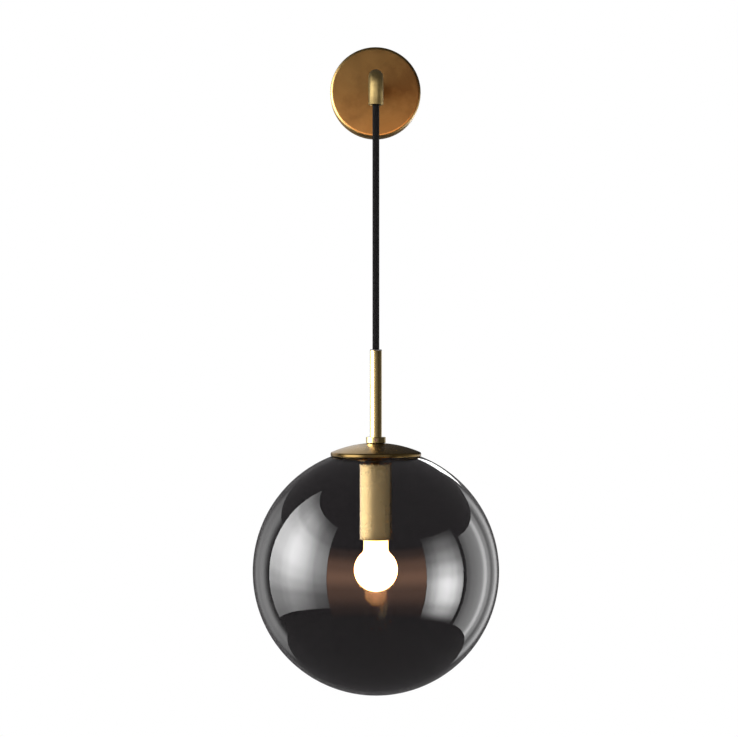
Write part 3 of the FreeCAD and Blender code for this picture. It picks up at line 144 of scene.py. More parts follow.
class SconceSizes(bpy.types.PropertyGroup):
    """Sizes that the smooth pieces add to the CAD nodes they stand for"""

    canopy_wall: length("Canopy wall", "Sheet of the wall canopy", 0.0012)
    canopy_round: length("Canopy edge", "Radius of the canopy's outer edge", 0.0035)
    canopy_hole: length("Canopy hole", "Radius of the hole behind the arm", 0.0051)
    arm_wall: length("Arm wall", "Wall of the arm tube", 0.0012)
    arm_bend: length("Arm bend", "Centreline radius of the elbow", 0.018)
    edge_ease: length("Eased edges", "Radius of the broken edges of turned brass", 0.0005)
    stem_bore: length("Stem bore", "Bore radius of the stem", 0.0048)
    cap_wall: length("Cap wall", "Sheet of the cap over the globe", 0.001)
    cap_dome: length("Cap dome", "Radius of the cap's shallow dome", 0.114)
    cap_round: length("Cap edge", "Radius where the dome turns down", 0.0016)
    cap_rim: length("Cap rim", "Straight height of the cap's rim", 0.0024)
    glass_wall: length("Glass wall", "Thickness of the globe", 0.003)
    mouth: length("Globe mouth", "Radius of the globe's opening", 0.038)
    cover_wall: length("Cover wall", "Sheet of the socket cover", 0.001)
    cover_round: length("Cover edge", "Radius of the cover's top edge", 0.002)
    bulb_wall: length("Bulb wall", "Opal shell of the bulb", 0.001)
    bulb_neck: length("Bulb neck", "Radius of the bulb's neck", 0.0125)
    bulb_blend: length("Bulb blend", "Radius of the hollow between ball and neck", 0.006)
    bulb_cone: length("Bulb cone", "Small radius of the cone above the neck", 0.008)
    bulb_cone_height: length("Cone height", "Height of that cone", 0.009)
    braid_strands: IntProperty(name="Braid strands", description="Strands round the flex each way",
                               default=12, min=4, max=32)
    turned_segments: IntProperty(name="Segments", description="Segments round a turned piece",
                                 default=160, min=24, max=512)


class SconceColours(bpy.types.PropertyGroup):
    """Colours and strengths of the finishes"""

    brass: colour("Brass", "Aged brass of stem and arm", (0.50, 0.365, 0.150))
    brass_warm: colour("Warm brass", "Aged brass of canopy and cap", (0.34, 0.222, 0.080))
    brass_dark: colour("Dark brass", "Tarnish in the grain and edges", (0.10, 0.052, 0.018))
    hardware: colour("Hardware", "Bright turned brass of nuts and nipples", (0.62, 0.45, 0.22))
    zinc: colour("Zinc", "Zinc plate", (0.50, 0.51, 0.53))
    textile: colour("Textile", "Black braid", (0.004, 0.004, 0.0045))
    # Painted sheen, not wear: the tops of the braid's strands are painted this lighter black.
    textile_sheen: colour("Textile sheen", "Worn tops of the braid", (0.010, 0.010, 0.0105))
    smoke: colour("Smoke", "Share of light that one wall of glass lets through", (0.118, 0.112, 0.115))
    nylon_black: colour("Black nylon", "Bush and grip", (0.015, 0.015, 0.016))
    lamp_white: colour("Opal", "Opal shell of the bulb", (0.90, 0.87, 0.80))
    glow: colour("Glow", "Light of the bulb", (1.0, 0.44, 0.14))
    warmth: colour("Warmth", "Light that comes back from the room", (1.0, 0.52, 0.32))
    glow_strength: level("Glow strength", "lit shell", 230.0, 400.0)
    # The bulb's neck is a white plastic collar, not a lamp: its glow is painted light.
    neck_strength: level("Neck strength", "bulb's neck", 90.0, 400.0)
    polished: colour("Polished brass", "Cleaner brass inside the globe", (0.88, 0.66, 0.30))


class SconceStudio(bpy.types.PropertyGroup):
    """Camera and studio"""

    camera_x: place("Camera X", "Camera right of the lamp's axis", -0.007)
    camera_y: place("Camera Y", "Camera in front of the wall", -2.150)
    camera_z: place("Camera Z", "Camera height over the canopy's centre", -0.299)
    floor_z: place("Floor Z", "Height of the floor", -1.45)
    floor_radius: length("Floor radius", "Radius of the pale floor", 1.9)
    key: level("Key card", "large card on the left", 23.0)
    side: level("Side card", "card on the right", 26.0)
    front: level("Front card", "warm card in front", 5.3)
    cover: level("Cover lamp", "lamps that the socket cover mirrors", 10.0)
    rim_of_cap: level("Cap lamp", "lamp that the cap's edge mirrors", 2.5)
    dome: level("Dome lamp", "lamp that the cap's dome mirrors", 0.8)
    elbow: level("Elbow lamp", "lamps that the arm mirrors", 1.8)
    stem: level("Stem lamp", "lamps that the stem mirrors", 0.8)
    rim_left: level("Left rim card", "card behind on the left", 1.5)
    rim_right: level("Right rim card", "card behind on the right", 5.5)
    rear: level("Rear card", "high card behind on the right", 6.0)
    tent: level("Tent", "cloth round the lamp", 0.06)
    fill: level("Fill", "world on matt surfaces", 0.55, 10.0)


# ---- numpy surfaces
def rounded(corners, steps=7):
    """Closed outline through corners (x, y, radius): each corner becomes a tangent arc of its radius.

    The arc's centre lies on the corner's bisector at radius / sin(half the corner's angle); its points run
    evenly from one tangent point to the other. A radius over 0.45 of a side is cut to that.
    """
    flat = [np.array(corner[:2], float) for corner in corners]
    points = []
    for index, here in enumerate(flat):
        back, ahead = flat[index - 1] - here, flat[(index + 1) % len(flat)] - here
        radius = (*corners[index], 0.0)[2]
        back_len, ahead_len = np.linalg.norm(back), np.linalg.norm(ahead)
        back, ahead = back / back_len, ahead / ahead_len
        half = math.acos(float(np.clip(back @ ahead, -1, 1))) / 2
        if radius <= 0 or half > math.radians(89.5):
            points.append(here[None])
            continue
        leg = min(radius / math.tan(half), 0.45 * back_len, 0.45 * ahead_len)
        radius = leg * math.tan(half)
        bisector = back + ahead
        centre = here + bisector / np.linalg.norm(bisector) * radius / math.sin(half)
        first = here + back * leg - centre
        last = here + ahead * leg - centre
        start = math.atan2(first[1], first[0])
        sweep = (math.atan2(last[1], last[0]) - start + math.pi) % (2 * math.pi) - math.pi
        angle = start + sweep * np.linspace(0, 1, steps)
        points.append(centre + radius * np.stack([np.cos(angle), np.sin(angle)], 1))
    return np.concatenate(points)


def arc(centre, radius, first, last, steps):
    """Points of a circle's arc between two angles in degrees: centre + radius (cos a, sin a)."""
    angle = np.radians(np.linspace(first, last, steps))
    return np.array(centre) + radius * np.stack([np.cos(angle), np.sin(angle)], 1)


def framed(centre, heading):
    """Centres of a path with the section's directions: across is beside x heading."""
    beside = np.tile(BESIDE, (len(centre), 1))
    return centre, np.cross(beside, heading), beside


def sheet(node, foot, top, wall, bend, edge, steps):
    """Outline of a drawn sheet: a side from foot to top, and a flat top with a hole for the nipple.

    The outer radius between side and top is bend, and the rim of the side is eased by edge.
    """
    outer, hole = half_width(node), sizes().canopy_hole
    inner = outer - wall
    return rounded([(hole, top), (hole, top - wall), (inner, top - wall, bend - wall), (inner, foot, edge),
                    (outer, foot, edge), (outer, top, bend)], steps)


def straight(origin, heading):
    """Frame of a straight path: origin + station * heading."""
    return lambda stations: framed(origin + np.outer(stations, heading), heading)


upright = straight((0.0, AXIS_Y, 0.0), (0.0, 0.0, 1.0))
outward = straight((0.0, 0.0, 0.0), (0.0, -1.0, 0.0))


def elbow(bend, start, foot):
    """Frame of the arm, and its length: along -Y, round a quarter turn of radius bend, then down to foot.

    The angle is (station - level run) / bend, held between 0 and a quarter turn; past it the rest goes down.
    """
    level_run = -AXIS_Y - bend - start
    turn_run = bend * math.pi / 2

    def along(stations):
        angle = np.clip((stations - level_run) / bend, 0, math.pi / 2)
        level = np.minimum(stations, level_run)
        down = np.maximum(stations - level_run - turn_run, 0)
        centre = np.zeros((len(stations), 3))
        centre[:, 1] = -(start + level + bend * np.sin(angle))
        centre[:, 2] = -bend * (1 - np.cos(angle)) - down
        return framed(centre, np.stack([np.zeros_like(angle), -np.cos(angle), -np.sin(angle)], 1))

    return along, level_run + turn_run - foot - bend


def follow(points):
    """Frame of a path through points, and its length: the station is the distance from the first point."""
    steps = np.linalg.norm(np.diff(points, axis=0), axis=1)
    run = float(np.sum(steps))
    points = np.vstack([2 * points[:1] - points[1:2], points, 2 * points[-1:] - points[-2:-1]])
    distance = np.concatenate([[-steps[0], 0.0], np.cumsum(steps), [run + steps[-1]]])
    nudge = 1e-5

    def at(stations):
        return np.stack([np.interp(stations, distance, points[:, k]) for k in range(3)], 1)

    def along(stations):
        heading = at(stations + nudge) - at(stations - nudge)
        return framed(at(stations), heading / np.linalg.norm(heading, axis=1)[:, None])

    return along, run


def carried(name, outline, path, segments=None, closed=True):
    """Round surface: each outline point (radius, station) becomes a circle of that radius round the path.

    Point = centre(station) + radius (cos a * across(station) + sin a * beside(station)) for a full turn.
    The map's u is a / full turn and its v is the distance along the outline in metres.
    """
    segments = segments or bpy.context.scene.sconce_sizes.turned_segments
    outline = np.vstack([outline, outline[:1]] if closed else [outline])
    centre, across, beside = path(outline[:, 1])
    angle = np.linspace(0, 2 * math.pi, segments + 1)
    ring = across[:, None] * np.cos(angle)[None, :, None] + beside[:, None] * np.sin(angle)[None, :, None]
    points = centre[:, None] + outline[:, 0][:, None, None] * ring
    run = np.concatenate([[0.0], np.cumsum(np.linalg.norm(np.diff(outline, axis=0), axis=1))])
    return grid_piece(name, points, angle / (2 * math.pi), run)


def grid_piece(name, points, u, v):
    """Mesh of a grid of points: quads between neighbours, and equal points at seams and poles merged."""
    rows, columns = points.shape[:2]
    index = np.arange(rows * columns).reshape(rows, columns)
    quads = np.stack([index[:-1, :-1], index[:-1, 1:], index[1:, 1:], index[1:, :-1]], -1).reshape(-1, 4)
    mesh = bpy.data.meshes.new(name)
    mesh.from_pydata(points.reshape(-1, 3), [], quads)
    chart = np.stack(np.meshgrid(u, v), -1).reshape(-1, 2)[quads.reshape(-1)]
    mesh.uv_layers.new(name="Surface").data.foreach_set("uv", chart.reshape(-1))
    work = bmesh.new()
    work.from_mesh(mesh)
    bmesh.ops.remove_doubles(work, verts=work.verts, dist=1e-7)
    bmesh.ops.dissolve_degenerate(work, edges=work.edges, dist=1e-8)
    work.to_mesh(mesh)
    work.free()
    mesh.shade_smooth()
    mesh.set_sharp_from_angle(angle=math.radians(38))
    return in_scene(name, mesh)


def in_scene(name, data):
    """New object in the scene."""
    thing = bpy.data.objects.new(name, data)
    bpy.context.scene.collection.objects.link(thing)
    return thing


def place_piece(piece, body, slot, *nodes, look=None):
    """Attach the piece to the body it rides on, and hide the CAD nodes it stands for.

    It wears the finish of its slot, or the one that look names.
    """
    piece.data.materials.append(finish(look or slot))
    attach(piece, body)
    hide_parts(*nodes)


# ---- shader building
class Wiring:
    """Adds nodes to a tree and links any input that is given as a socket."""

    def __init__(self, tree):
        self.tree = tree

    def add(self, kind, inputs=None, **settings):
        node = self.tree.nodes.new(kind)
        node.location = (NODE_STEP * len(self.tree.nodes), 0)
        for name, value in settings.items():
            setattr(node, name, value)
        for name, value in (inputs or {}).items():
            if isinstance(value, bpy.types.NodeSocket):
                self.tree.links.new(value, node.inputs[name])
            else:
                node.inputs[name].default_value = value
        return node

    def math(self, operation, *values):
        return self.add("ShaderNodeMath", dict(enumerate(values)), operation=operation).outputs[0]

    def plus(self, first, second):
        return self.math("ADD", first, second)

    def times(self, first, second):
        return self.math("MULTIPLY", first, second)

    def place(self):
        """Object coordinates."""
        return self.add("ShaderNodeTexCoord").outputs["Object"]

    def chart(self):
        """Turn and run of the piece's own map."""
        surface = self.add("ShaderNodeUVMap", uv_map="Surface").outputs[0]
        return self.add("ShaderNodeSeparateXYZ", {0: surface}).outputs

    def blend(self, factor, first, second):
        """Colour that goes from first to second; each is a socket or a colour."""
        first, second = (c if isinstance(c, bpy.types.NodeSocket) else rgba(c) for c in (first, second))
        # Inputs 6 and 7 of a mix node and its output 2 are the ones for colours.
        return self.add("ShaderNodeMix", {0: factor, 6: first, 7: second}, data_type="RGBA").outputs[2]

    def ramp(self, value, first, last):
        bounds = {"Value": value, "From Min": first, "From Max": last}
        return self.add("ShaderNodeMapRange", bounds).outputs[0]

    def noise(self, vector, scale, detail=3.0, roughness=0.5):
        return self.add("ShaderNodeTexNoise", {"Vector": vector, "Scale": scale, "Detail": detail,
                                               "Roughness": roughness}).outputs["Fac"]


def wired(thing):
    """Wiring of an emptied material or world."""
    thing.use_nodes = True
    thing.node_tree.nodes.clear()
    return Wiring(thing.node_tree)


def spaced(inputs):
    """The same inputs, with a space for every _ in their names."""
    return {name.replace("_", " "): value for name, value in inputs.items()}


def effect(w, build, relief, depth, **values):
    """Shader inputs that come out of a node group: build makes the group once, and its Height becomes a bump.

    A colour among the values makes a colour input of the group, and a number makes a plain one.
    """
    name, values = build.__name__.replace("_", " ").title(), spaced(values)
    group = bpy.data.node_groups.get(name)
    if not group:
        group = bpy.data.node_groups.new(name, "ShaderNodeTree")
        for label, value in values.items():
            kind = "NodeSocketColor" if isinstance(value, tuple) else "NodeSocketFloat"
            group.interface.new_socket(label, in_out="INPUT", socket_type=kind).default_value = value
        inner = Wiring(group)
        results = build(inner, inner.add("NodeGroupInput").outputs)
        for label, socket in results.items():
            group.interface.new_socket(label, in_out="OUTPUT", socket_type=socket.bl_idname)
        inner.add("NodeGroupOutput", results)
    sockets = dict(w.add("ShaderNodeGroup", values, node_tree=group).outputs.items())
    bump = {"Height": sockets.pop("Height"), "Strength": relief, "Distance": depth}
    return sockets | {"Normal": w.add("ShaderNodeBump", bump).outputs[0]}


def turned_grain(w, given):
    """Fine rings that a lathe or spinning tool leaves, with patina in clouds; reads the piece's own map."""
    chart = w.chart()
    turn = w.times(chart[0], 2 * math.pi)
    rings = w.add("ShaderNodeCombineXYZ", {
        0: w.times(w.math("COSINE", turn), 0.35),
        1: w.times(w.math("SINE", turn), 0.35),
        2: w.times(chart[1], given["Rings per Metre"]),
    }).outputs[0]
    fine = w.noise(rings, 1.0, 4.0, 0.6)
    place = w.place()
    cloud = w.noise(place, given["Cloud Scale"], 4.0, 0.55)
    patina = w.times(w.ramp(cloud, 0.45, 0.60), given["Patina"])
    dark = w.math("MINIMUM", w.plus(patina, w.times(w.ramp(fine, 0.55, 0.8), 0.14)), 1.0)
    smudge = w.noise(place, 55.0, 3.0)
    rough = w.plus(given["Roughness"], w.times(w.math("SUBTRACT", smudge, 0.5), 0.12))
    return {"Base Color": w.blend(dark, given["Bright"], given["Dark"]),
            "Roughness": w.plus(rough, w.times(dark, 0.10)), "Height": fine}


def surface_wear(w, given):
    """Small pits and clouds on metal or plastic; reads Object coordinates, since CAD nodes have no map."""
    place = w.place()
    cloud = w.ramp(w.noise(place, given["Cloud Scale"], 4.0, 0.6), 0.38, 0.66)
    grit = w.noise(place, given["Grain Scale"], 3.0, 0.6)
    dark = w.times(w.math("MAXIMUM", cloud, w.ramp(grit, 0.60, 0.74)), given["Wear"])
    rough = w.plus(given["Roughness"], w.times(w.math("SUBTRACT", grit, 0.5), 0.18))
    return {"Base Color": w.blend(dark, given["Bright"], given["Dark"]), "Roughness": rough, "Height": grit}


def braid(w, given):
    """Two crossing families of strands that pass over and under, with a sheen painted lighter on their tops;
    reads the piece's own map.

    With a = n u + v / p and b = n u - v / p, a strand's height is the sine of pi times the fraction of a
    or b, and the parity of the whole parts of a and b says which of the two lies on top.
    """
    chart = w.chart()
    around = w.times(chart[0], given["Strands"])
    climb = w.math("DIVIDE", chart[1], given["Pitch"])
    heights, wholes, threads = [], [], []
    for way in ("ADD", "SUBTRACT"):
        strand = w.plus(w.math(way, around, climb), 500.0)
        heights.append(w.math("SINE", w.times(w.math("FRACT", strand), math.pi)))
        threads.append(w.math("SINE", w.times(strand, 8 * math.pi)))
        wholes.append(w.math("FLOOR", strand))
    over = w.math("MODULO", w.plus(*wholes), 2.0)
    under = w.math("SUBTRACT", 1.0, over)
    body, thread = (w.plus(w.times(pair[0], over), w.times(pair[1], under)) for pair in (heights, threads))
    height = w.plus(body, w.times(thread, 0.12))
    fuzz = w.noise(w.place(), 2600.0, 2.0)
    # Painted sheen: the higher a strand lies, the more it takes the lighter top colour, broken by fuzz.
    top = w.times(w.ramp(height, 0.45, 1.05), w.ramp(fuzz, 0.30, 0.75))
    return {"Base Color": w.blend(top, given["Deep"], given["Top"]), "Height": height}


def glass_film(w, given):
    """Faint waves and smears of blown glass; reads Object coordinates."""
    place = w.place()
    smear = w.ramp(w.noise(place, 35.0, 5.0, 0.6), 0.45, 0.75)
    wave = w.noise(place, given["Wave Scale"], 1.0, 0.4)
    return {"Roughness": w.times(smear, given["Smear"]), "Height": wave}


def new_material(name, paint, **plain):
    """Material with one Principled shader: plain gives values to its inputs, and paint(wiring) sockets."""
    material = bpy.data.materials.new("finish_" + name)
    w = wired(material)
    shader = w.add("ShaderNodeBsdfPrincipled", spaced(plain) | paint(w))
    w.add("ShaderNodeOutputMaterial", {"Surface": shader.outputs[0]})
    return material


def colours():
    return bpy.context.scene.sconce_colours


def sizes():
    return bpy.context.scene.sconce_sizes


def rgba(value):
    """Four numbers from a colour, or from the setting of that name."""
    return (*(getattr(colours(), value) if isinstance(value, str) else value)[:3], 1.0)


def turned_metal(name, bright, clouds, patina, roughness, relief=0.06):
    """Brushed or spun metal of a turned piece."""
    return new_material(name, lambda w: effect(
        w, turned_grain, relief, 0.00004, Bright=rgba(bright), Dark=rgba("brass_dark"),
        Rings_per_Metre=2600.0, Cloud_Scale=clouds, Patina=patina, Roughness=roughness),
        Metallic=1.0, Anisotropic=0.35)


def worn(name, bright, dark, metallic=0.0, grain=1800.0, clouds=60.0, wear=0.4, roughness=0.4, relief=0.2):
    """Metal or plastic of a CAD node, from Object coordinates."""
    return new_material(name, lambda w: effect(
        w, surface_wear, relief, 0.00005, Bright=rgba(bright), Dark=rgba(dark), Grain_Scale=grain,
        Cloud_Scale=clouds, Wear=wear, Roughness=roughness), Metallic=metallic)


def textile_finish(name):
    """Black braided textile with a soft sheen, and a sheen painted on the tops of its strands."""
    strands = float(sizes().braid_strands)
    return new_material(name, lambda w: effect(
        w, braid, 0.9, 0.00035, Deep=rgba("textile"), Top=rgba("textile_sheen"), Strands=strands,
        Pitch=2 * math.pi * FLEX_RADIUS / strands),
        Roughness=0.85, Specular_IOR_Level=0.05, Sheen_Weight=0.03, Sheen_Roughness=0.5)


def glass_finish(name):
    """Smoke-grey blown glass."""
    return new_material(name, lambda w: effect(w, glass_film, 0.05, 0.002, Wave_Scale=9.0, Smear=0.02),
                        IOR=1.40, Transmission_Weight=1.0, Base_Color=rgba("smoke"))


def opal_finish(name, strength, faint, roughness, fade):
    """Opal shell that is lit: where fade is 1 its glow falls to the share faint of the full one."""
    glow = colours().glow
    return new_material(name, lambda w: {
        "Emission Color": w.blend(fade(w), glow, [part * faint for part in glow]),
    }, Roughness=roughness, Base_Color=rgba("lamp_white"), Emission_Strength=getattr(colours(), strength))


def uneven(w):
    """Slow clouds of the ball's glow."""
    return w.ramp(w.noise(w.place(), 90.0, 2.0), 0.35, 0.7)


def up_the_neck(w):
    """Rises from 0 at the foot of the bulb's neck to 1 at its top."""
    # Mask of the painted shade that dims the neck's painted glow towards its top.
    height = w.add("ShaderNodeSeparateXYZ", {0: w.place()}).outputs[2]
    return w.ramp(height, low_z("bulb_collar"), high_z("bulb_collar"))


FINISHES = {
    "brass_canopy": (turned_metal, "brass_warm", 22.0, 0.55, 0.36, {}),
    "brass_arm": (turned_metal, "brass", 60.0, 0.35, 0.42, {}),
    "brass_stem": (turned_metal, "brass", 60.0, 0.05, 0.28, 0.015, {}),
    "brass_cover": (turned_metal, "polished", 60.0, 0.04, 0.28, 0.015, {}),
    "brass_cap": (turned_metal, "brass_warm", 30.0, 0.40, 0.28, {}),
    "brass_clip": (worn, "brass", "brass_dark", 1.0, {"roughness": 0.3, "wear": 0.3}),
    "brass_hardware": (worn, "hardware", "brass_dark", 1.0, {"roughness": 0.28, "wear": 0.25}),
    "zinc_steel": (worn, "zinc", (0.33, 0.34, 0.35), 1.0, 700.0, 45.0, 0.5, 0.38, {}),
    "zinc_screw": (worn, (0.11, 0.11, 0.12), (0.05, 0.05, 0.055), 1.0, {"roughness": 0.42}),
    "black_nylon": (worn, "nylon_black", (0.03, 0.03, 0.03), {"roughness": 0.5}),
    "black_holder": (worn, (0.02, 0.02, 0.021), (0.045, 0.045, 0.045), {"roughness": 0.32}),
    "white_nylon": (worn, (0.78, 0.78, 0.74), (0.62, 0.61, 0.56), {"wear": 0.3, "roughness": 0.5}),
    "black_textile": (textile_finish, {}),
    "core_brown": (worn, (0.14, 0.05, 0.02), (0.10, 0.035, 0.015), {}),
    "core_blue": (worn, (0.03, 0.11, 0.42), (0.02, 0.08, 0.30), {}),
    "core_earth": (worn, (0.62, 0.55, 0.03), (0.05, 0.30, 0.04), {"clouds": 260.0, "wear": 1.0}),
    "smoke_glass": (glass_finish, {}),
    "silicone": (worn, (0.42, 0.41, 0.39), (0.30, 0.29, 0.27),
                 {"wear": 0.5, "roughness": 0.5, "relief": 0.1}),
    "ceramic": (worn, (0.80, 0.78, 0.72), (0.66, 0.63, 0.57), {"roughness": 0.55}),
    "opal_glass": (opal_finish, "glow_strength", 0.94, 0.35, uneven, {}),
    # Painted glow on the bulb's plastic neck, darker towards its top as painted shade.
    "opal_collar": (opal_finish, "neck_strength", 0.5, 0.4, up_the_neck, {}),
    "nickel": (worn, (0.62, 0.60, 0.56), (0.35, 0.34, 0.32), 1.0, {"roughness": 0.22}),
    "aluminium_board": (worn, (0.75, 0.76, 0.77), (0.5, 0.5, 0.5), 1.0, {"roughness": 0.35}),
    "solder": (worn, (0.50, 0.50, 0.51), (0.25, 0.25, 0.26), 1.0, {}),
}
MADE = {}


def finish(name):
    """The material of that name, made once."""
    if name not in MADE:
        build, *inputs, settings = FINISHES[name]
        MADE[name] = build(name, *inputs, **settings)
    return MADE[name]


# ---- operators
class SCONCE_OT_camera(bpy.types.Operator):
    """Camera level with the flex, looking at the wall as in the photograph"""

    bl_idname = "sconce.camera"
    bl_label = "Camera"

    def execute(self, context):
        studio = context.scene.sconce_studio
        data = bpy.data.cameras.new("camera")
        data.sensor_width = SENSOR
        data.lens = SENSOR * PHOTO_FOCAL / PHOTO_WIDTH
        data.clip_start, data.clip_end = 0.05, 50.0
        camera = in_scene("camera", data)
        camera.location = (studio.camera_x, studio.camera_y, studio.camera_z)
        camera.rotation_euler = (math.pi / 2, 0, 0)
        context.scene.camera = camera
        return {"FINISHED"}


class SCONCE_OT_flex(bpy.types.Operator):
    """The black textile flex: its free stretch, and the stretches inside the arm and the stem"""

    bl_idname = "sconce.flex"
    bl_label = "Flex"

    # The free stretch hangs straight under the pendant's weight, from the elbow's mouth to the stem.
    DROP_ROUTE = [(0.0, -0.150, -0.0272), (0.0, -0.150, -0.1524), (0.0, -0.150, -0.2776)]

    def drop_line(self):
        """Points of the route's own spline."""
        curve = bpy.data.curves.new("flex_route", "CURVE")
        curve.dimensions = "3D"
        spline = curve.splines.new("NURBS")
        spline.points.add(len(self.DROP_ROUTE) - 1)
        for point, position in zip(spline.points, self.DROP_ROUTE):
            point.co = (*position, 1.0)
        spline.order_u = 3
        spline.use_endpoint_u = True
        route = in_scene("flex_route", curve)
        mesh = bpy.data.meshes.new_from_object(route)
        points = np.array([vertex.co[:] for vertex in mesh.vertices])
        bpy.data.batch_remove((route, curve, mesh))
        return points

    @staticmethod
    def rod(length, flat=False):
        """Outline of flex between half balls centred at 0 and length; flat makes its first end flat."""
        foot = arc((0, 0), FLEX_RADIUS, -90, 0, END_STEPS)
        if flat:
            foot = np.stack([np.linspace(0, FLEX_RADIUS, END_STEPS), np.zeros(END_STEPS)], 1)
        middle = [(FLEX_RADIUS, station) for station in np.linspace(0, length, 62)[1:-1]]
        return np.vstack([foot, middle, arc((0, length), FLEX_RADIUS, 0, 90, END_STEPS)])

    def execute(self, context):
        line = self.drop_line()
        path, run = follow(line)
        drop = carried("flex_drop_braid", self.rod(run), path, FLEX_SIDES, closed=False)
        place_piece(drop, "cord", "black_textile", "flex_drop", "cord_bend_upper", "cord_bend_lower")
        path, run = elbow(sizes().arm_bend, -float(high("flex_in_arm")[1]), UPPER_BEND_Z)
        place_piece(carried("flex_in_arm_braid", self.rod(run, flat=True), path, FLEX_SIDES, closed=False),
                    "wall_mount", "black_textile", "flex_in_arm")
        foot = low_z("flex_in_stem")
        outline = self.rod(LOWER_BEND_Z - foot, flat=True)
        outline[:, 1] += foot
        place_piece(carried("flex_in_stem_braid", outline, upright, FLEX_SIDES, closed=False),
                    "cord_end", "black_textile", "flex_in_stem")
        return {"FINISHED"}


class SCONCE_OT_canopy(bpy.types.Operator):
    """Spun canopy with its rounded edge"""

    bl_idname = "sconce.canopy"
    bl_label = "Canopy"

    def execute(self, context):
        s = sizes()
        depth = -float(low("canopy")[1])
        outline = sheet("canopy", 0, depth, s.canopy_wall, s.canopy_round, EDGE, 14)
        place_piece(carried("canopy_spun", outline, outward), "wall_mount", "brass_canopy", "canopy")
        return {"FINISHED"}


class SCONCE_OT_arm(bpy.types.Operator):
    """Bent arm tube with its open mouth"""

    bl_idname = "sconce.arm"
    bl_label = "Arm"

    def execute(self, context):
        s = sizes()
        radius = half_width("arm_tube")
        start = -float(high("arm_tube")[1])
        path, run = elbow(s.arm_bend, start, low_z("arm_tube"))
        inner, bush_length = radius - s.arm_wall, 0.009
        stations = np.linspace(-AXIS_Y - s.arm_bend - start, run - 2 * s.edge_ease, 48)
        mouth = rounded([(inner, run - 4 * s.edge_ease), (radius, run - 4 * s.edge_ease),
                         (radius, run, s.edge_ease), (inner, run, s.edge_ease)], 6)[2:]
        outline = np.vstack([
            [(s.canopy_hole, 0.0), (radius, 0.0)], [(radius, station) for station in stations], mouth,
            [(inner, station) for station in stations[::-1]],
            [(inner, bush_length), (s.canopy_hole, bush_length)],
        ])
        place_piece(carried("arm_bent", outline, path, SLIM_SIDES), "wall_mount", "brass_arm", "arm_tube")
        return {"FINISHED"}


class SCONCE_OT_stem(bpy.types.Operator):
    """Stem with its bush"""

    bl_idname = "sconce.stem"
    bl_label = "Stem"

    def execute(self, context):
        s = sizes()
        radius = half_width("stem_tube")
        foot, top = low_z("stem_tube"), high_z("stem_tube")
        tube = rounded([(s.stem_bore, foot), (radius, foot), (radius, top, EDGE), (s.stem_bore, top, EDGE)],
                       5)
        place_piece(carried("stem_drawn", tube, upright, SLIM_SIDES), "pendant", "brass_stem", "stem_tube")

        foot, seat, top = low_z("stem_bush"), top, high_z("stem_bush")
        bore, shank = FLEX_RADIUS + 0.0002, s.stem_bore - 0.0001
        bush = rounded([(bore, foot), (shank, foot), (shank, seat), (radius, seat), (radius, top, 0.0006),
                        (bore, top, 0.0003)], 6)
        place_piece(carried("stem_bush_moulded", bush, upright, SLIM_SIDES),
                    "pendant", "black_nylon", "stem_bush")
        return {"FINISHED"}


class SCONCE_OT_cap(bpy.types.Operator):
    """Domed cap over the globe's mouth"""

    bl_idname = "sconce.cap"
    bl_label = "Cap"

    def execute(self, context):
        s = sizes()
        radius = half_width("globe_cap")
        foot, top = low_z("globe_cap"), high_z("globe_cap")
        hole = s.canopy_hole
        centre = (0.0, top - math.sqrt(s.cap_dome ** 2 - hole ** 2))

        def skin(sink):
            """Dome and edge moved in by sink, from the hole outwards."""
            dome, bend = s.cap_dome - sink, s.cap_round - sink
            bend_r = radius - s.cap_round
            bend_z = centre[1] + math.sqrt((s.cap_dome - s.cap_round) ** 2 - bend_r ** 2)
            lean = math.degrees(math.atan2(bend_z - centre[1], bend_r))
            first = math.degrees(math.acos(hole / dome))
            edge = arc((bend_r, bend_z), bend, lean, 0, 10)
            return np.vstack([arc(centre, dome, first, lean, 60), edge[1:]])

        outer, inner = skin(0.0), skin(s.cap_wall)
        rim = rounded([(radius, outer[-1][1]), (radius - s.cap_wall, outer[-1][1]),
                       (radius - s.cap_wall, foot, SHEET_EDGE), (radius, foot, SHEET_EDGE)], 5)[2:]
        outline = np.vstack([inner, rim, outer[::-1]])
        place_piece(carried("cap_spun", outline, upright, 192), "pendant", "brass_cap", "globe_cap")
        return {"FINISHED"}


class SCONCE_OT_globe(bpy.types.Operator):
    """Blown globe with a fire-polished mouth"""

    bl_idname = "sconce.globe"
    bl_label = "Globe"

    def execute(self, context):
        s = sizes()
        outer, inner = GLOBE_RADIUS, GLOBE_RADIUS - s.glass_wall
        centre = (0.0, GLOBE_Z)
        lean = math.acos(s.mouth / outer)
        middle = outer - s.glass_wall / 2
        lip_centre = (middle * math.cos(lean), GLOBE_Z + middle * math.sin(lean))
        lean = math.degrees(lean)
        lip = arc(lip_centre, s.glass_wall / 2, lean, lean + 180, 12)[1:-1]
        outline = np.vstack([arc(centre, outer, -90, lean, 160), lip, arc(centre, inner, lean, -90, 160)])
        outline[0, 0] = outline[-1, 0] = 0.0
        place_piece(carried("globe_blown", outline, upright, 256, closed=False),
                    "pendant", "smoke_glass", "glass_globe")
        return {"FINISHED"}


class SCONCE_OT_socket(bpy.types.Operator):
    """Brass cover of the lampholder"""

    bl_idname = "sconce.socket"
    bl_label = "Socket cover"

    def execute(self, context):
        s = sizes()
        foot, top = low_z("socket_cover"), high_z("socket_cover")
        outline = sheet("socket_cover", foot, top, s.cover_wall, s.cover_round, SHEET_EDGE, 8)
        place_piece(carried("socket_cover_drawn", outline, upright, 128),
                    "pendant", "brass_stem", "socket_cover", look="brass_cover")
        return {"FINISHED"}


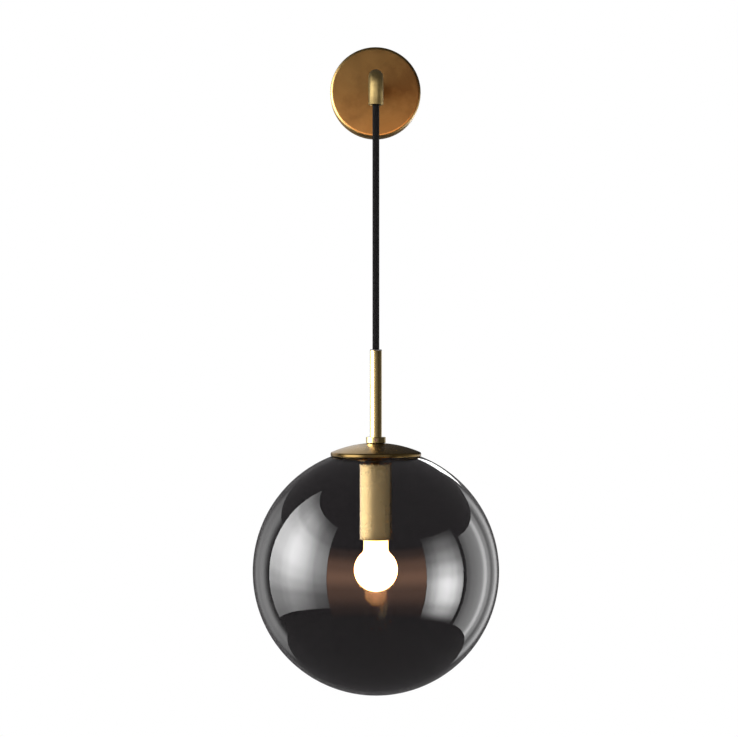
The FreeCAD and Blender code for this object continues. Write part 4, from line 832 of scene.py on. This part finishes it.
class SCONCE_OT_bulb(bpy.types.Operator):
    """Lit opal bulb: the ball runs into the neck through a small hollow"""

    bl_idname = "sconce.bulb"
    bl_label = "Bulb"

    def execute(self, context):
        s = sizes()
        radius = half_width("bulb_envelope")
        centre = low_z("bulb_envelope") + radius
        joint = high_z("bulb_envelope")
        blend_r = s.bulb_neck + s.bulb_blend
        blend_z = centre + math.sqrt((radius + s.bulb_blend) ** 2 - blend_r ** 2)
        lean = math.degrees(math.atan2(blend_z - centre, blend_r))
        split = math.degrees(math.asin((blend_z - joint) / s.bulb_blend)) - 180
        lower = arc((blend_r, blend_z), s.bulb_blend, lean - 180, split, 8)
        upper = arc((blend_r, blend_z), s.bulb_blend, split, -180, 8)
        wall = s.bulb_wall
        inner = arc((0, centre), radius - wall, lean, -90, 60)
        outline = np.vstack([arc((0, centre), radius, -90, lean, 60), lower[1:],
                             [[lower[-1][0] - wall, joint]], inner])
        outline[0, 0] = outline[-1, 0] = 0.0
        place_piece(carried("bulb_ball", outline, upright, SLIM_SIDES, closed=False),
                    "bulb", "opal_glass", "bulb_envelope")

        top = high_z("bulb_collar")
        neck_top = top - s.bulb_cone_height
        foot = np.vstack([upper[:1] - [[wall, 0.0]], upper])
        cone = rounded([(s.bulb_neck, joint), (s.bulb_neck, neck_top, 0.002), (s.bulb_cone, top, 0.0006),
                        (0.0, top)], 6)
        outline = np.vstack([[[0.0, joint + 0.002]], foot + [[0.0, 0.0001]], cone[1:]])
        place_piece(carried("bulb_neck", outline, upright, SLIM_SIDES, closed=False),
                    "bulb", "opal_collar", "bulb_collar")
        return {"FINISHED"}


class SCONCE_OT_hardware(bpy.types.Operator):
    """Finishes of every CAD node that is shown as it is"""

    bl_idname = "sconce.hardware"
    bl_label = "Hardware finishes"

    def execute(self, context):
        slots = {entry["node"]: entry["material_slot"] for entry in frame["record"]["subparts"]}
        turned_only = dict.fromkeys(("brass_canopy", "brass_arm", "brass_stem", "brass_cap"), "brass_clip")
        turned_only["black_textile"] = "black_nylon"
        for node, piece in frame["nodes"].items():
            piece.data.materials.clear()
            piece.data.materials.append(finish(turned_only.get(slots[node], slots[node])))
        return {"FINISHED"}


def stops(w, value, points):
    """Level that runs through the points (position, level)."""
    node = w.add("ShaderNodeValToRGB", {0: value})
    ramp = node.color_ramp
    ramp.interpolation = "EASE"
    for index, (position, level) in enumerate(points):
        stop = ramp.elements[index] if index < 2 else ramp.elements.new(position)
        stop.position = position
        stop.color = (level, level, level, 1.0)
    return node.outputs[0]


EVEN = ((0.0, 1.0), (1.0, 1.0))


def card(name, plan, upward, strength, along=EVEN, up=EVEN, depth=0.0, tone=(1.0, 1.0, 1.0), skipped=()):
    """Upright card over the points (x, y) of plan, between the two heights of upward, leaning back by depth.

    A height is one number or one for every point of the plan. The card's level is the strength times the
    stops along the plan times the stops up it. Only mirrors see it, and the skipped pieces mirror it dark, as
    behind a flag.
    """
    climb = np.linspace(0, 1, 17)
    points = np.zeros((len(climb), len(plan), 3))
    points[:, :, :2] = plan
    points[:, :, 1] += depth * climb[:, None]
    points[:, :, 2] = np.linspace(*(np.broadcast_to(height, len(plan)) for height in upward), len(climb))
    piece = grid_piece(name, points, np.linspace(0, 1, len(plan)), climb)
    material = bpy.data.materials.new(name)
    w = wired(material)
    chart = w.chart()
    level = w.times(w.times(stops(w, chart[0], along), stops(w, chart[1], up)), strength)
    light = w.add("ShaderNodeEmission", {"Color": rgba(tone), "Strength": level})
    w.add("ShaderNodeOutputMaterial", {"Surface": light.outputs[0]})
    piece.data.materials.append(material)
    hide_from(piece, "camera", "diffuse", "shadow", "transmission")
    for entry in receivers(piece, skipped):
        entry.light_linking.link_state = "EXCLUDE"


def hide_from(thing, *rays):
    """Keep the thing out of these kinds of ray."""
    for kind in rays:
        setattr(thing, "visible_" + kind, False)


def wearing(name):
    """Pieces with that finish."""
    return [piece for piece in bpy.data.objects if piece.active_material == finish(name)]


def receivers(light, pieces):
    """Entries of the pieces in the list that says what the light reaches."""
    if not pieces:
        return []
    group = bpy.data.collections.new(light.name + "_list")
    light.light_linking.receiver_collection = group
    for piece in pieces:
        group.objects.link(piece)
    return list(group.collection_objects)


def area_lamp(name, shape, size, power, place, rotation, hidden):
    """Soft lamp of a size (width, height) that the hidden kinds of ray don't see."""
    data = bpy.data.lights.new(name, "AREA")
    data.shape, data.energy = shape, power
    data.size, data.size_y = size
    lamp = in_scene(name, data)
    lamp.location, lamp.rotation_euler = place, rotation
    hide_from(lamp, *hidden)
    return lamp


def panel_lamp(name, azimuth, height, size, level, pieces, distance=LAMP_RADIUS, carrier=None):
    """Panel that only the pieces mirror, turned to the globe's axis at its height.

    A panel of area A and power P has the level P / (4 A). With a carrier it moves with that piece.
    """
    turn = math.radians(azimuth)
    place = (-distance * math.sin(turn), AXIS_Y - distance * math.cos(turn), height)
    lamp = area_lamp(name, "RECTANGLE", size, 4 * size[0] * size[1] * level, place,
                     (math.pi / 2, 0.0, -turn), ("camera", "diffuse", "transmission"))
    receivers(lamp, pieces)
    if carrier:
        bpy.context.view_layer.update()
        lamp.parent = carrier
        lamp.matrix_parent_inverse = carrier.matrix_world.inverted()


def round_plan(first, last, radius=CARD_RADIUS):
    """Points of an arc round the globe's axis: azimuth 0 lies in front and grows to the left, in degrees."""
    turn = np.radians(np.linspace(first, last, ARC_STEPS))
    return np.stack([-radius * np.sin(turn), AXIS_Y - radius * np.cos(turn)], 1)


class SCONCE_OT_stage(bpy.types.Operator):
    """White surround, pale floor, lamps, and the far cards that the brass and glass mirror"""

    bl_idname = "sconce.stage"
    bl_label = "Stage"

    def execute(self, context):
        studio = context.scene.sconce_studio
        self.surround(context.scene, studio)
        self.floor(studio)
        middle = GLOBE_Z
        behind = (middle - 0.9, middle + 0.55)
        arm, cap, canopy, cover = (wearing("brass_" + name) for name in ("arm", "cap", "canopy", "cover"))
        stem = wearing("brass_stem") + [frame["nodes"]["stem_collar"]]
        slanted = np.linspace(middle + 1.12, middle + 1.75, ARC_STEPS)
        card("key_card", round_plan(44, 112), (middle - 0.634, slanted), studio.key,
             ((0, 0.29), (0.16, 0.4), (0.25, 0.61), (0.35, 0.86), (0.46, 0.96), (0.56, 1), (0.68, 0.78),
              (0.79, 0.57), (0.93, 0.44), (1, 0.4)),
             ((0, 0.2), (0.14, 0.3), (0.23, 0.53), (0.31, 0.78), (0.42, 1), (0.52, 1), (0.64, 0.8),
              (0.72, 0.5), (1, 0.15)), skipped=arm + cap)
        card("side_card", round_plan(-84, -45), (middle - 0.92, middle + 0.76), studio.side,
             ((0, 0.3), (0.1, 0.5), (0.28, 0.82), (0.46, 1), (0.63, 0.93), (0.79, 0.63), (0.95, 0.39),
              (1, 0.36)),
             ((0, 0.03), (0.17, 0.44), (0.315, 0.86), (0.45, 1), (0.58, 0.66), (0.71, 0.32), (0.85, 0.15),
              (1, 0.04)), skipped=canopy + arm + stem + cap)
        card("rim_left", round_plan(114, 152), behind, studio.rim_left,
             ((0, 0.1), (0.3, 1), (0.65, 0.5), (1, 0.05)))
        card("rim_right", round_plan(-152, -88), behind, studio.rim_right,
             ((0, 0.05), (0.14, 0.3), (0.33, 0.12), (0.45, 0.4), (0.55, 1), (0.65, 0.55), (0.85, 0.5),
              (1, 0.3)), skipped=stem + cap)
        card("rear_card", round_plan(-168, -157), (middle + 0.38, middle + 0.66), studio.rear, skipped=cap)
        card("front_card", round_plan(-44.8, 43.8), (middle - 0.93, middle + 0.62), studio.front,
             ((0, 0.85), (0.3, 0.85), (0.42, 1), (0.5, 1.5), (0.58, 1), (0.7, 0.85), (1, 0.85)),
             ((0, 0), (0.15, 0.08), (0.42, 0.45), (0.6, 1), (0.73, 0.65), (0.9, 0.14), (1, 0)),
             tone=colours().warmth, skipped=arm + stem + cap)
        foot = low_z("globe_cap")
        stem_middle = (low_z("stem_collar") + high_z("stem_bush")) / 2
        panel_lamp("cap_lamp", 62, foot, (0.9, 0.5), studio.rim_of_cap, cap)
        panel_lamp("dome_lamp", 156, foot + 0.8, (0.9, 1.3), studio.dome, cap)
        panel_lamp("stem_lamp", 28, stem_middle, (0.5, 0.6), studio.stem, stem)
        panel_lamp("low_lamp", -8, stem_middle, (1.1, 0.6), 0.3 * studio.stem, stem + cap)
        panel_lamp("side_lamp", -80, stem_middle, (1.4, 0.6), 0.12 * studio.stem, stem + cap)
        panel_lamp("rear_lamp", -155, stem_middle, (1.5, 0.6), 0.8 * studio.stem, stem)
        panel_lamp("cap_rear", -130, foot - 0.2, (1.4, 0.3), 0.3 * studio.rim_of_cap, cap)
        panel_lamp("elbow_lamp", 70, 0.45, (1.9, 1.5), studio.elbow, arm)
        panel_lamp("elbow_front", 2, 0.95, (0.7, 2.4), 0.45 * studio.elbow, arm, distance=0.8)
        panel_lamp("elbow_side", -80, 0.3, (0.9, 1.2), 0.08 * studio.elbow, arm)
        bottom, top = low_z("socket_cover"), high_z("spring_clip")
        beside, turn = 0.05, 22
        strip = (2 * beside * math.tan(math.radians(turn / 2)), 1.1 * (top - bottom))
        for index, level in enumerate((0.06, 0.07, 0.1, 0.13, 0.15, 0.22, 0.53, 0.88, 1.0, 0.95, 0.78, 0.55)):
            panel_lamp(f"cover_lamp_{index + 1}", turn * index - 92, (bottom + top) / 2, strip,
                       level * studio.cover, cover, distance=beside, carrier=cover[0])
        card("tent", round_plan(-180, 180, TENT_RADIUS), (studio.floor_z + 0.01, middle + 1.9), studio.tent)
        for name, height in (("tent_roof", middle + 1.9), ("tent_floor", studio.floor_z + 0.005)):
            card(name, np.linspace((-1.8, -1.9), (1.8, -1.9), 5), (height, height), studio.tent, depth=3.4)
        self.lamps()
        return {"FINISHED"}

    @staticmethod
    def surround(scene, studio):
        """White to the eye, in mirrors and through glass; softer on matt surfaces."""
        world = bpy.data.worlds.new("surround")
        scene.world = world
        w = wired(world)
        path = w.add("ShaderNodeLightPath").outputs
        seen = w.math("MAXIMUM", path["Is Camera Ray"],
                      w.math("MAXIMUM", path["Is Glossy Ray"], path["Is Transmission Ray"]))
        strength = w.add("ShaderNodeMapRange", {"Value": seen, "To Min": studio.fill, "To Max": 1.0})
        light = w.add("ShaderNodeBackground", {"Color": (1, 1, 1, 1), "Strength": strength.outputs[0]})
        w.add("ShaderNodeOutputWorld", {"Surface": light.outputs[0]})

    @staticmethod
    def floor(studio):
        """Round pale floor under the lamp."""
        rim = (studio.floor_radius, studio.floor_z)
        floor = carried("floor", [rim, (0.0, studio.floor_z)], upright, SLIM_SIDES, closed=False)
        floor.data.materials.append(new_material("floor_paint", lambda w: {
            "Base Color": w.blend(w.noise(w.place(), 6.0, 3.0), (0.86, 0.86, 0.86), (0.83, 0.83, 0.83)),
        }, Roughness=0.7))

    @staticmethod
    def lamps():
        """Three soft lamps that light the matt pieces."""
        for name, place, size, power in (
            ("left_lamp", (-1.6, -1.2, 0.5), 1.2, 16.0),
            ("right_lamp", (1.6, -0.9, 0.3), 1.2, 6.0),
            ("back_lamp", (0.6, 1.6, 0.6), 1.0, 7.0),
        ):
            aim = np.array([0.0, AXIS_Y, GLOBE_Z * 0.6]) - np.array(place)
            fall, turn = math.acos(-aim[2] / np.linalg.norm(aim)), math.atan2(aim[1], aim[0]) - math.pi / 2
            area_lamp(name, "DISK", (size, size), power, place, (fall, 0.0, turn),
                      ("glossy", "transmission", "camera"))


class SCONCE_PT_panel(bpy.types.Panel):
    """Sizes, colours and one button for each group of pieces"""

    bl_idname = "SCONCE_PT_panel"
    bl_label = "Globe Wall Sconce"
    bl_space_type = "VIEW_3D"
    bl_region_type = "UI"
    bl_category = "Sconce"

    def draw(self, context):
        scene = context.scene
        for settings in (scene.sconce_sizes, scene.sconce_colours, scene.sconce_studio):
            box = self.layout.box()
            for name in settings.__annotations__:
                box.prop(settings, name)
        for operator in OPERATORS:
            self.layout.operator(operator.bl_idname)


OPERATORS = (SCONCE_OT_camera, SCONCE_OT_flex, SCONCE_OT_hardware, SCONCE_OT_canopy, SCONCE_OT_arm,
             SCONCE_OT_stem, SCONCE_OT_cap, SCONCE_OT_globe, SCONCE_OT_socket, SCONCE_OT_bulb,
             SCONCE_OT_stage)
SETTINGS = (("sconce_sizes", SconceSizes), ("sconce_colours", SconceColours),
            ("sconce_studio", SconceStudio))


def register():
    for name, group in SETTINGS:
        bpy.utils.register_class(group)
        setattr(bpy.types.Scene, name, PointerProperty(type=group))
    for operator in OPERATORS:
        bpy.utils.register_class(operator)
    bpy.utils.register_class(SCONCE_PT_panel)


def unregister():
    bpy.utils.unregister_class(SCONCE_PT_panel)
    for operator in reversed(OPERATORS):
        bpy.utils.unregister_class(operator)
    for name, group in reversed(SETTINGS):
        delattr(bpy.types.Scene, name)
        bpy.utils.unregister_class(group)


def main():
    """Dress the whole lamp."""
    register()
    bpy.context.scene.view_settings.view_transform = "Standard"
    for step in (bpy.ops.sconce.camera, bpy.ops.sconce.flex, bpy.ops.sconce.hardware, bpy.ops.sconce.canopy,
                 bpy.ops.sconce.arm, bpy.ops.sconce.stem, bpy.ops.sconce.cap, bpy.ops.sconce.globe,
                 bpy.ops.sconce.socket, bpy.ops.sconce.bulb, bpy.ops.sconce.stage):
        step()


if __name__ == "__main__":
    main()
